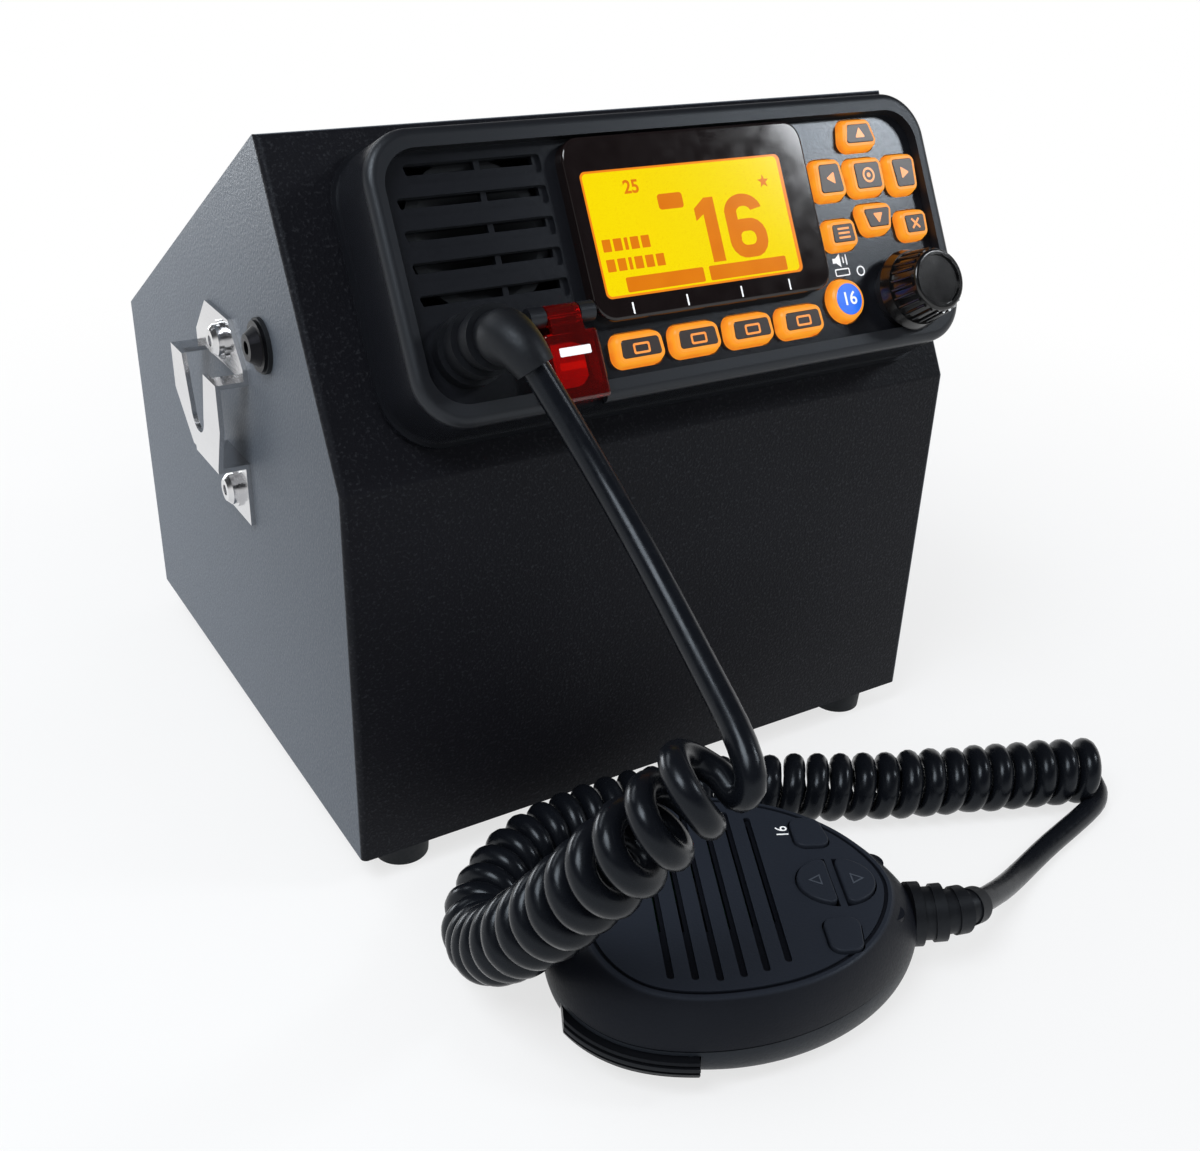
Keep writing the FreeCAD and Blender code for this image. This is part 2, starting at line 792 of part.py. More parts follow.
def speaker_slots():
    """Each slot is a shallow groove, with a slit through its upper half that a rib divides."""
    cuts = []
    for i in range(slot_count):
        v = slot_top_v - i * slot_pitch
        left = slot_left + (3.0 if i == 0 else 0.0)
        h = slot_height / 2
        corners = [(left + 1.5, v - h), (slot_right, v - h), (slot_right, v + h), (left, v + h)]
        cuts.append(plate(rounded_polygon(corners, 0.8, recess_n - slot_depth), slot_depth + 1))
        for u0, u1 in ((left + 0.6, slit_rib_u - slit_rib), (slit_rib_u, slot_right - 1.6)):
            cuts.append(box(u0, u1, v, v + slit_height, 0, 30))
    return cuts


def face_gasket():
    """The rubber seal between bezel and cabinet."""
    w, h, r = radio_width - 1.0, radio_height - 1.0, radio_corner - 0.5
    ring = plate(rounded_rectangle(w, h, r, 0), gasket_thickness)
    return moved(ring.cut(plate(rounded_rectangle(w - 9, h - 9, r - 4.5, -1), 5)), face)


def display_window():
    """The gloss window, raised from the face, with a boss that fills its hole in the bezel."""
    rim = plate(rounded_rectangle(window_width, window_height, window_corner, recess_n, window_u, window_v), window_rise)
    top = recess_n + window_rise
    rim = rim.makeFillet(0.9, [e for e in rim.Edges if e.BoundBox.ZMin > top - 1e-6])
    m = 2 * window_boss_margin + 0.4
    boss = plate(
        rounded_rectangle(window_width - m, window_height - m, 2.8, ceiling_n, window_u, window_v), bezel_wall
    )
    return moved(fused([rim, boss]), face)


def lcd_module():
    """The liquid-crystal panel on its lit backing, carried by the board."""
    w, h = glass_width + 2 * lcd_margin, glass_height + 2 * lcd_margin
    front = ceiling_n
    panel = plate(rounded_rectangle(w, h, 1.0, front - lcd_depth, glass_u + 1.2, glass_v + 0.6), lcd_depth)
    foot = box(glass_u - w / 2 + 4, glass_u + w / 2 - 4, glass_v - h / 2 + 4, glass_v + h / 2 - 4,
               mat_bottom_n, front - lcd_depth)
    return moved(fused([panel, foot]), face)


def front_board():
    """The circuit board behind the keys."""
    board = plate(
        rounded_rectangle(
            board_right - board_left, 2 * board_half_height, 2.0, board_bottom_n, (board_left + board_right) / 2, 0
        ),
        board_thickness,
    )
    for post in bezel_posts(post_radius + 0.3, 0, 30):
        board = board.cut(post)
    return moved(board, face)


def keypad_mat():
    """The silicone mat with the keys' domes, in two arms round the display."""
    lower = box(board_left, 35.0, -board_half_height, -15.2, mat_bottom_n, mat_top_n)
    right = box(37.0, board_right, -board_half_height, board_half_height, mat_bottom_n, mat_top_n)
    link = box(34.0, 38.0, -board_half_height, -15.2, mat_bottom_n, mat_top_n)
    mat = fused([lower, right, link])
    for post in bezel_posts(post_radius + 0.3, 0, 30):
        mat = mat.cut(post)
    e = encoder_width / 2 + 0.5
    mat = mat.cut(box(knob_u - e, knob_u + e, knob_v - e, knob_v + e, 0, 30))
    return moved(mat, face)


def speaker():
    """A round loudspeaker behind the slots."""
    front = ceiling_n
    rim = rod(speaker_radius, front - speaker_rim, front, speaker_u, speaker_v)
    cone_depth = 4.0
    basket = Part.makeCone(
        speaker_radius - 1.5, magnet_radius, cone_depth, V(speaker_u, speaker_v, front - speaker_rim), V(0, 0, -1)
    )
    magnet = rod(magnet_radius + 1, front - speaker_depth, front - speaker_rim - cone_depth + 0.5, speaker_u, speaker_v)
    body = fused([rim, basket, magnet])
    hollow = Part.makeCone(speaker_radius - 2.5, 5.0, 3.6, V(speaker_u, speaker_v, front), V(0, 0, -1))
    return moved(body.cut(hollow), face)


def radio_chassis():
    """The die-cast body: a front flange inside the bezel, and fins along its top."""
    half = chassis_width / 2
    body = box(-half, half, chassis_bottom_v, chassis_top_v, -chassis_depth, -chassis_neck)
    long_edges = [e for e in body.Edges if e.BoundBox.ZLength > chassis_depth - chassis_neck - 1]
    body = body.makeFillet(3.0, long_edges)
    neck = cutout_width / 2 - chassis_clearance
    body = body.fuse(box(-neck, neck, chassis_bottom_v, chassis_top_v, -chassis_neck - 1, chassis_flange_front))
    rim = plate(
        rounded_rectangle(chassis_flange_width, chassis_flange_height, 6.0, chassis_flange_back),
        chassis_flange_front - chassis_flange_back,
    )
    pieces = [body, rim]
    pitch = (chassis_width - 8 - fin_thickness) / (fin_count - 1)
    for i in range(fin_count):
        u = -half + 4 + i * pitch
        pieces.append(box(u, u + fin_thickness, chassis_top_v - 1, fin_top_v, -chassis_depth, -fin_start))
    for u in (board_left + 5.0, (board_left + board_right) / 2, board_right - 9.0):
        for v in (-board_half_height + 3.0, board_half_height - 3.0):
            pieces.append(rod(2.4, chassis_flange_back, board_bottom_n, u, v))
    body = fused(pieces)
    for hole in bezel_posts(post_screw_radius, 0, 30):
        body = body.cut(hole)
    body = body.cut(box(-60, 60, chassis_bottom_v + 3.5, chassis_top_v - 3.0, 0, 30))
    body = moved(body, face)
    return body.cut(side_bolt_rods(side_bolt_radius, side_bolt_grip + 2, side_bolt_grip + 1))


def bezel_screws():
    solids = []
    for su in (-1, 1):
        for sv in (-1, 1):
            one = screw(post_screw_head_radius, post_screw_head, post_screw_radius, ceiling_n - chassis_flange_back - 3)
            one.translate(V(su * post_u, sv * post_v, chassis_flange_back))
            solids.append(moved(one, face))
    return Part.makeCompound(solids)


def wall_u(side):
    """The cabinet side's outer surface in the face frame."""
    return side * half_width - radio_right


def side_bolt_rods(radius, outside, grip=None):
    """Rods along both side bolts, from outside the cabinet into the chassis."""
    rods = []
    for side in (-1, 1):
        inner = side * (chassis_width / 2 - (side_bolt_grip if grip is None else grip))
        outer = wall_u(side) + side * outside
        rods.append(rod_x(radius, min(inner, outer), max(inner, outer), side_bolt_v, -side_bolt_depth))
    return moved(Part.makeCompound(rods), face)


def side_bolts():
    """One flanged dome-head bolt each side, which hold the radio in the cabinet."""
    solids = []
    for side in (-1, 1):
        seat = wall_u(side) + side * side_washer_thickness
        inner = side * (chassis_width / 2 - side_bolt_grip)
        shank = rod_x(side_bolt_radius, min(inner, seat), max(inner, seat))
        brim = Part.makeCylinder(side_head_radius, 0.8, V(0, 0, 0), V(0, 0, 1))
        dome = Part.makeCone(side_head_radius - 1.2, side_head_radius - 2.8, side_head_height - 0.8, V(0, 0, 0.8))
        socket = Part.makeCylinder(1.6, 1.6, V(0, 0, side_head_height - 1.5))
        head = fused([brim, dome]).cut(socket)
        head = turned_to(head, V(seat, 0, 0), V(side, 0, 0))
        bolt = fused([head, shank])
        bolt.translate(V(0, side_bolt_v, -side_bolt_depth))
        solids.append(moved(bolt, face))
    return Part.makeCompound(solids)


def side_rings(radius, start, end):
    """A ring round each side bolt; start and end are measured outward from the wall."""
    solids = []
    for side in (-1, 1):
        a = wall_u(side) + side * start if start is not None else side * chassis_width / 2
        b = wall_u(side) + side * end
        ring = rod_x(radius, min(a, b), max(a, b), side_bolt_v, -side_bolt_depth)
        bore = rod_x(side_bolt_radius + side_hole_gap, min(a, b) - 1, max(a, b) + 1, side_bolt_v, -side_bolt_depth)
        solids.append(moved(ring.cut(bore), face))
    return Part.makeCompound(solids)


# ---------------------------------------------------------------- keys, knob and distress cover
def pressed_key(outline, top):
    """A key cap whose sides lean in above the bezel, with a ledge under the bezel."""
    stem = plate(outline(0.0, ledge_bottom_n), recess_n - ledge_bottom_n)
    brow = top - key_edge
    lean = key_draft * (brow - recess_n) / key_rise
    cap = Part.makeLoft([outline(0.0, recess_n), outline(-lean, brow)], True, True)
    crown = Part.makeLoft([outline(-lean, brow), outline(-lean - key_edge * 0.9, top)], True, True)
    ledge = plate(outline(key_ledge, ledge_bottom_n), key_ledge_height)
    return moved(fused([stem, cap, crown, ledge]), face)


def face_key(name):
    return pressed_key(lambda grow, n: key_outline(name, grow, n), recess_n + key_rise)


def round_outline(grow, n):
    return Part.Wire([Part.Circle(V(round_key_u, round_key_v, n), V(0, 0, 1), round_key_radius + grow).toShape()])


def distress_outline(grow, n):
    u = (flap_left + flap_right) / 2
    return rounded_rectangle(
        distress_key_width + 2 * grow, distress_key_height + 2 * grow, 2.0 + grow, n, u, distress_key_v
    )


def distress_cover():
    """The sprung see-through lid over the distress key, with its knuckle."""
    u0, u1 = hinge_left + hinge_end + hinge_gap, hinge_right - hinge_end - hinge_gap
    knuckle = rod_x(hinge_radius, u0, u1, hinge_v, hinge_n)
    floor = recess_n + flap_floor_gap
    lid = box(flap_left, flap_right, flap_bottom_v, flap_side_top_v, floor, flap_top_n)
    corner_edges = [e for e in lid.Edges if e.BoundBox.ZMin > flap_top_n - 1e-6 or e.BoundBox.ZLength > 1]
    lid = lid.makeFillet(0.8, corner_edges)
    hollow = box(
        flap_left + flap_wall, flap_right - flap_wall, flap_bottom_v + flap_wall, flap_side_top_v + 5,
        floor - 5, flap_top_n - flap_wall,
    )
    neck = box(u0, u1, flap_side_top_v - 1, hinge_v, flap_top_n - flap_wall, flap_top_n - 0.1)
    body = fused([lid.cut(hollow), neck, knuckle])
    bore = rod_x(hinge_pin_radius + shaft_fit, u0 - 1, u1 + 1, hinge_v, hinge_n)
    return moved(body.cut(bore), face)


def distress_hinge_pin():
    return moved(rod_x(hinge_pin_radius, hinge_left + 0.4, hinge_right - 0.4, hinge_v, hinge_n), face)


def distress_key():
    return pressed_key(distress_outline, recess_n + distress_key_rise)


def encoder_body():
    """The push encoder on the board."""
    e = encoder_width / 2
    top = ceiling_n - 0.2
    case = box(knob_u - e, knob_u + e, knob_v - e, knob_v + e, mat_bottom_n, top)
    collar = rod(shaft_radius + 0.5, top, ceiling_n + 1.0, knob_u, knob_v)
    bore = rod(shaft_radius + shaft_fit, mat_bottom_n + 0.8, 40, knob_u, knob_v)
    return moved(fused([case, collar]).cut(bore), face)


def encoder_shaft():
    """The shaft, which slides when the knob is pushed."""
    bottom = mat_bottom_n + 0.8 + push_travel + 0.2
    top = recess_n + knob_gap + shaft_reach
    return moved(rod(shaft_radius, bottom, top, knob_u, knob_v), face)


def volume_knob():
    """A tapered knob with a skirt, fine ribs and a dished front."""
    bottom = recess_n + knob_gap
    top = recess_n + knob_height
    step = bottom + knob_base_height
    skirt = Part.makeCone(knob_base_radius, knob_base_radius - 0.8, knob_base_height, V(knob_u, knob_v, bottom))
    barrel = Part.makeCone(knob_radius, knob_front_radius, top - step, V(knob_u, knob_v, step))
    barrel = barrel.makeFillet(0.8, [e for e in barrel.Edges if e.BoundBox.ZMin > top - 1e-6])
    ribs = []
    for i in range(knob_ribs):
        angle = 2 * math.pi * i / knob_ribs
        u = knob_u + knob_radius * math.cos(angle)
        v = knob_v + knob_radius * math.sin(angle)
        lean = V(-math.cos(angle), -math.sin(angle), 0) * (knob_radius - knob_front_radius)
        ribs.append(
            Part.makeCylinder(knob_rib_radius, top - step - 1.2, V(u, v, step), lean + V(0, 0, top - step))
        )
    dish = Part.makeCylinder(knob_dish_radius, 5, V(knob_u, knob_v, top - knob_dish_depth))
    knob = fused([skirt, barrel] + ribs).cut(dish)
    bore = rod(shaft_radius + shaft_fit, bottom - 1, bottom + shaft_reach + shaft_fit, knob_u, knob_v)
    return moved(knob.cut(bore), face)


# ---------------------------------------------------------------- microphone hanger
def mic_hanger():
    """A folded stainless plate that stands off the wall, with an open slot for the button."""
    t = hanger_sheet
    wall = -half_width

    def leaf(points, depth):
        wire = Part.makePolygon([V(wall - depth, y, z) for y, z in points + points[:1]])
        return Part.Face(wire).extrude(V(-t, 0, 0))

    y0, y1, top = hanger_front_y, hanger_rear_y, hanger_top_z
    tip = hanger_tip_half
    upper = leaf(
        [(y0, top), (y1, top), (y1, top + 3), (hanger_tip_y + tip, hanger_tip_z), (hanger_tip_y - tip, hanger_tip_z),
         (y0, top + 3)], 0)
    front = leaf(
        [(y0, top), (y1, top), (y1, top - 12), (y1 - 12, hanger_plate_bottom_z),
         (hanger_tab_front_y, hanger_plate_bottom_z), (y0, top - 12)], hanger_stand)
    mouth = hanger_slot_mouth
    r = hanger_slot_radius
    slot = leaf(
        [(hanger_slot_y - r, hanger_slot_bottom_z + r), (hanger_slot_y + r, hanger_slot_bottom_z + r),
         (hanger_slot_y + mouth, top + 1), (hanger_slot_y - mouth, top + 1)], hanger_stand)
    round_end = Part.makeCylinder(
        r, t, V(wall - hanger_stand, hanger_slot_y, hanger_slot_bottom_z + r), V(-1, 0, 0)
    )
    front = front.cut(slot).cut(round_end)
    reach = hanger_stand + t
    pieces = [upper, front]
    for a, b in ((y0, y0 + hanger_arm), (y1 - hanger_arm, y1)):
        pieces.append(box(wall - reach, wall, a, b, top - t, top))
    z = hanger_plate_bottom_z
    pieces.append(box(wall - reach, wall, hanger_tab_front_y, hanger_tab_rear_y, z - t, z))
    pieces.append(box(wall - t, wall, hanger_tab_front_y, hanger_tab_rear_y, hanger_tab_bottom_z, z))
    body = fused(pieces)
    for hole_z in (hanger_screw_upper_z, hanger_screw_lower_z):
        body = body.cut(rod_x(hanger_screw_radius, wall - 5, wall + 1, hanger_screw_y, hole_z))
    return in_cabinet(body)


def hanger_screws():
    """Two pan-head screws, each with its washer as one captive piece."""
    solids = []
    seat = -half_width - hanger_sheet
    for z in (hanger_screw_upper_z, hanger_screw_lower_z):
        washer = rod(hanger_washer_radius, -hanger_washer, 0)
        one = screw(hanger_head_radius, hanger_head_height, hanger_screw_radius, 9.0)
        one.translate(V(0, 0, -hanger_washer))
        solids.append(in_cabinet(turned_to(fused([washer, one]), V(seat, hanger_screw_y, z), V(1, 0, 0))))
    return Part.makeCompound(solids)


# ---------------------------------------------------------------- microphone
def mic_ring(blend, inset, z, slope=0.0):
    """A closed curve between the joint's outline (blend 0) and the face's (blend 1)."""
    half = []
    for (xj, yj), (xf, yf) in zip(mic_joint_half, mic_face_half):
        half.append((xj + (xf - xj) * blend, yj + (yf - yj) * blend))
    ring = half + [(x, -y) for x, y in half[-2:0:-1]]
    points = []
    for i, (x, y) in enumerate(ring):
        before, after = ring[i - 1], ring[(i + 1) % len(ring)]
        along = V(after[0] - before[0], after[1] - before[1], 0).normalize()
        inner = V(x, y, 0) + V(along.y, -along.x, 0) * inset
        points.append(V(inner.x, inner.y, z + slope * (mic_contact_x - inner.x)))
    curve = Part.BSplineCurve()
    curve.interpolate(Points=points, PeriodicFlag=True)
    return Part.Wire([curve.toShape()])


def mic_loft(*sections):
    return Part.makeLoft([mic_ring(*section) for section in sections], True, False)


mic_ceiling_z = mic_thickness - mic_wall
mic_mat_z = mic_joint_z + mic_board_thickness
mic_boss_places = [(-35.2, 11.5), (-35.2, -11.5), (33.7, 8.5), (33.7, -8.5)]
mic_boss_radius = 3.0
mic_screw_radius = 1.1


def mic_bosses(radius, z0, z1):
    return [rod(radius, z0, z1, x, y) for x, y in mic_boss_places]


def mic_screw_seat(x):
    return mic_back(x) + 2.6


def corner_key_outline(side, grow, z):
    """A corner key: square towards the middle, rounded off along the edge of the face."""
    l, w = mic_corner_key_length / 2 + grow, mic_corner_key_width / 2 + grow
    x, y = mic_corner_key_x, mic_corner_key_y
    corners = [(x - l, y - w), (x + l, y - w), (x + l - 1.4, y + w - 0.8), (x - l, y + w)]
    if side < 0:
        corners = [(cx, -cy) for cx, cy in reversed(corners)]
    return rounded_polygon(corners, 2.6 + grow, z)


def oval_key(side, grow, z0, z1):
    """Half of the oval rocker, on one side of the fixed rib."""
    ring = Part.Ellipse(V(0, 0, 0), mic_oval_half_length + grow, mic_oval_half_width + grow).toShape()
    solid = Part.Face(Part.Wire([ring])).extrude(V(0, 0, z1 - z0))
    solid.translate(V(mic_oval_x, 0, z0))
    solid.rotate(V(mic_oval_x, 0, z0), V(0, 0, 1), 90 * (1 + side))
    near = mic_oval_x + side * (mic_oval_rib / 2 + mic_key_gap - grow)
    far = near + side * 20
    return solid.common(box(min(near, far), max(near, far), -20, 20, z0, z1))


def cord_bore():
    """The hole for the cord, with a seat for its boot."""
    seat = rod_x(mic_boot_radius, mic_boot_start_x, 60, 0, mic_cord_z)
    return rod_x(mic_boot_core_radius, mic_solid_end - 1, 60, 0, mic_cord_z).fuse(seat)


mic_boot_radius = 7.4
mic_boot_core_radius = 4.2
mic_boot_start_x = 41.0


def mic_front_shell():
    """The front half of the case, with its flat face, grille slots and key holes."""
    top = mic_thickness
    rise = top - mic_joint_z
    outer = mic_loft(
        (0.0, 0.0, mic_joint_z),
        (0.10, 0.0, mic_joint_z + 0.3 * rise),
        (0.38, 0.0, mic_joint_z + 0.62 * rise),
        (0.78, 0.0, mic_joint_z + 0.88 * rise),
        (1.0, 0.0, top - 0.25),
    )
    edge = mic_loft((1.0, 0.0, top - 0.25), (1.0, 0.4, top))
    inner = mic_loft((0.15, mic_wall, mic_joint_z - 1), (0.95, mic_wall, mic_ceiling_z))
    inner = inner.cut(box(mic_solid_end, 60, -30, 30, 0, 40))
    body = fused([outer, edge]).cut(inner)
    g = mic_groove_width
    groove = mic_loft((1.0, 1.2, top - mic_groove_depth), (1.0, 1.2, top + 1))
    groove = groove.cut(mic_loft((1.0, 1.2 + g, top - 1), (1.0, 1.2 + g, top + 2)))
    body = body.cut(groove)
    w = mic_slot_width / 2
    for i, half in enumerate(mic_slot_half):
        x = mic_slot_first_x + i * mic_slot_pitch
        body = body.cut(rounded_slot(x - w, x + w, -half, half, top - mic_slot_depth, top + 1))
        body = body.cut(box(x - w, x, -half * 0.45, half - 2.0, mic_ceiling_z - 1, top))
    for side in (-1, 1):
        body = body.cut(plate(corner_key_outline(side, mic_key_gap, mic_joint_z), 30))
        body = body.cut(oval_key(side, mic_key_gap, mic_joint_z, 40))
    for boss in mic_bosses(mic_boss_radius, mic_joint_z, mic_ceiling_z + 0.5):
        body = body.fuse(boss)
    for hole in mic_bosses(mic_screw_radius, 0, mic_ceiling_z - 2.0):
        body = body.cut(hole)
    return moved(body.cut(cord_bore()), mic)


def rounded_slot(x0, x1, y0, y1, z0, z1):
    radius = (x1 - x0) / 2 - 0.01
    corners = [(x0, y0), (x1, y0), (x1, y1), (x0, y1)]
    return plate(rounded_polygon(corners, radius, z0), z1 - z0)


def mic_rear_shell():
    """The rear half of the case, with a sloping back and rounded lower edges."""
    top = mic_joint_z - mic_gasket
    outer = mic_loft(
        (0.0, 0.3, top),
        (0.0, 0.7, 6.5, 0.35 * mic_slope),
        (0.0, 2.4, 2.2, 0.8 * mic_slope),
        (0.0, 5.2, 0.0, mic_slope),
    )
    inner = mic_loft((0.0, mic_wall + 0.5, top + 1), (0.0, mic_wall + 3.5, mic_wall, mic_slope))
    inner = inner.cut(box(mic_solid_end, 60, -30, 30, -10, 40))
    body = outer.cut(inner)
    for x, y in mic_boss_places:
        body = body.fuse(rod(mic_boss_radius, mic_back(x) + 1.0, top, x, y))
        body = body.cut(rod(mic_screw_radius, -1, 40, x, y)).cut(rod(2.5, -1, mic_screw_seat(x), x, y))
    body = body.cut(ptt_block(0.0, 6.0)).cut(cord_bore())
    return moved(body.fuse(ptt_pin(ptt_pin_radius, 0.4)), mic)


def mic_case_seal():
    """The thin seal between the two halves of the case."""
    low = mic_joint_z - mic_gasket
    ring = mic_loft((0.0, 0.6, low), (0.0, 0.6, mic_joint_z))
    ring = ring.cut(mic_loft((0.0, 2.1, low - 1), (0.0, 2.1, mic_joint_z + 1)))
    return moved(ring.cut(cord_bore()), mic)


def mic_screws():
    solids = []
    for x, y in mic_boss_places:
        one = screw(2.2, 1.6, mic_screw_radius, mic_ceiling_z - 3.0 - mic_screw_seat(x))
        one.translate(V(x, y, mic_screw_seat(x)))
        solids.append(moved(one, mic))
    return Part.makeCompound(solids)


def mic_hanger_button():
    """The mushroom button on the back, which drops into the hanger."""
    lean = FreeCAD.Rotation(V(0, 1, 0), math.degrees(math.atan(mic_slope)))
    h = mic_button_height
    disc = rod(mic_button_radius, -h, mic_button_disc - h)
    disc = disc.makeChamfer(0.5, [e for e in disc.Edges if e.BoundBox.ZLength < 1e-6])
    neck = rod(mic_button_neck_radius, mic_button_disc - h - 0.5, 0)
    button = moved(fused([disc, neck]), FreeCAD.Placement(V(mic_button_x, 0, mic_back(mic_button_x)), lean))
    return moved(button, mic)


def mic_board():
    """The circuit board, between the bosses at the joint."""
    edge = mic_wall + 2.0
    board = plate(mic_ring(0.15, edge, mic_joint_z), mic_board_thickness)
    board = board.cut(box(mic_solid_end - 0.5, 60, -30, 30, 0, 40))
    for boss in mic_bosses(mic_boss_radius + 0.4, 0, 40):
        board = board.cut(boss)
    return moved(board, mic)


def mic_keypad_mat():
    """The silicone mat under the four keys."""
    z0, z1 = mic_mat_z, mic_mat_z + mic_mat_thickness
    x0, x1 = mic_corner_key_x - 5.5, mic_oval_x + mic_oval_half_length + 0.5
    mat = box(x0, x1, -9.5, 9.5, z0, z1)
    for side in (-1, 1):
        mat = mat.fuse(plate(corner_key_outline(side, 0.3, z0), z1 - z0))
        mat = mat.fuse(box(x0, mic_corner_key_x + 3, min(side * 8, side * 15), max(side * 8, side * 15), z0, z1))
    for boss in mic_bosses(mic_boss_radius + 0.4, 0, 40):
        mat = mat.cut(boss)
    return moved(mat.removeSplitter(), mic)


def mic_capsule():
    """The electret capsule that the speech reaches through the slots."""
    body = rod(4.7, mic_mat_z, mic_ceiling_z, -8.6, 0)
    return moved(body.cut(rod(1.0, mic_ceiling_z - 0.6, 40, -8.6, 0)), mic)


def mic_key(solid_at):
    """A microphone key: it stands over the mat with room for its travel."""
    bottom = mic_mat_z + mic_mat_thickness + mic_key_travel + 0.3
    top = mic_thickness + mic_key_rise
    cap = solid_at(bottom, top)
    corners = [e for e in cap.Edges if e.BoundBox.ZLength > 1]
    if len(corners) == 2:
        cap = cap.makeFillet(1.6, corners)
    cap = cap.makeFillet(0.45, [e for e in cap.Edges if e.BoundBox.ZMin > top - 1e-6])
    return moved(cap, mic)


def ptt_block(gap, proud):
    """The push-to-talk pad's space in the near side, with a gap left all round."""
    z0, z1 = ptt_bottom_z + gap, mic_joint_z - mic_gasket - ptt_top_gap - gap
    inner = ptt_depth - 2 * gap
    if gap:
        inner -= ptt_stroke_room
    outer = mic_loft((0.0, -proud + 1.1, z0), (0.0, -proud, (z0 + z1) / 2), (0.0, -proud + 0.8, z1))
    outer = outer.cut(mic_loft((0.0, inner, z0 - 1), (0.0, inner, z1 + 1)))
    end_y = ptt_end_y - (ptt_stroke_room if gap else 0.0)
    return outer.common(box(ptt_start_x + gap, ptt_end_x - gap, -60, end_y, z0, z1))


def ptt_pin(radius, beyond):
    """The upright pin that the pad swings on, across its pocket."""
    top = mic_joint_z - mic_gasket - ptt_top_gap
    return rod(radius, ptt_bottom_z - beyond, top + beyond, *ptt_pivot)


def ptt_lever():
    """The push-to-talk pad, grooved along its length, on its pin."""
    pad = ptt_block(ptt_gap, ptt_proud)
    z = (ptt_bottom_z + mic_joint_z - mic_gasket - ptt_top_gap) / 2
    for rise in (-1.4, 0.0, 1.4):
        ring = mic_loft((0.0, -9.0, z + rise - 0.3), (0.0, -9.0, z + rise + 0.3))
        depth = -ptt_proud + ptt_groove + 0.3 * abs(rise)
        pad = pad.cut(ring.cut(mic_loft((0.0, depth, z + rise - 1), (0.0, depth, z + rise + 1))))
    return moved(pad.cut(ptt_pin(ptt_pin_radius + ptt_pin_gap, 1.0)), mic)


# ---------------------------------------------------------------- cord
def boot_sizes(first, count):
    """The discs' radii, from the first down to a collar round the cord."""
    last = cord_diameter / 2 + 1.5
    return [first + (last - first) * (i / (count - 1)) ** 1.3 for i in range(count)]


def bent_boot(start, out, end, along, radii, smooth=0):
    """A strain relief along a bent axis: discs of two sizes, then a smooth collar of the last few."""
    reach = start.distanceToPoint(end)
    controls = [start, start + out * (reach * 0.42), end - along * (reach * 0.42), end]
    curve = Part.BezierCurve()
    curve.setPoles(controls)
    count = len(radii)
    solids = []
    rings = []
    for i in range(count - smooth, count) if smooth else ():
        for share, size in ((0.0, radii[i]), (0.5, radii[i])) if i == count - smooth else ((0.5, radii[i]),):
            t = (i + share) / count
            rings.append(Part.Wire([Part.Circle(curve.value(t), V(*curve.tangent(t)[0]), size).toShape()]))
    if smooth:
        rings.append(Part.Wire([Part.Circle(curve.value(1), V(*curve.tangent(1)[0]), radii[-1] - 0.3).toShape()]))
        solids.append(Part.makeLoft(rings, True, False))
    for i, radius in enumerate(radii[: count - smooth]):
        a, b = i / count, (i + 1) / count
        size = radius if i % 2 == 0 else radius - 1.0
        rings = []
        for t in (a, b):
            ring = Part.Circle(curve.value(t), V(*curve.tangent(t)[0]), size)
            rings.append(Part.Wire([ring.toShape()]))
        solids.append(Part.makeLoft(rings, True, True))
    return fused(solids)


def radio_cord_boot():
    """The strain relief where the cord leaves the radio, bent down by the cord's weight."""
    start = moved(Part.Vertex(V(boot_u, boot_v, recess_n)), face).Point
    out = face.Rotation.multVec(V(0, 0, 1))
    end = upper_route[0]
    along = (upper_route[1] - upper_route[0]).normalize()
    boot = bent_boot(start, out, end, along, boot_sizes(7.9, 10), smooth=4)
    core = rod(boot_core_radius, ceiling_n - 3.0, recess_n + 0.5, boot_u, boot_v)
    flange_disc = rod(boot_core_radius + 1.6, ceiling_n - 2.5, ceiling_n, boot_u, boot_v)
    return fused([boot, moved(core, face), moved(flange_disc, face)])


def mic_cord_boot():
    """The strain relief at the microphone's narrow end."""
    start = mic.multVec(V(mic_boot_start_x, 0, mic_cord_z))
    out = mic.Rotation.multVec(V(1, 0, 0))
    end = lower_route[-1]
    along = (lower_route[-2] - lower_route[-1]).normalize()
    boot = bent_boot(start, out, end, along, boot_sizes(mic_boot_radius, 7))
    core_length = mic_boot_start_x - mic_solid_end + 0.5
    core = Part.makeCylinder(mic_boot_core_radius, core_length, start - out * (core_length - 0.5), out)
    return fused([boot, core])


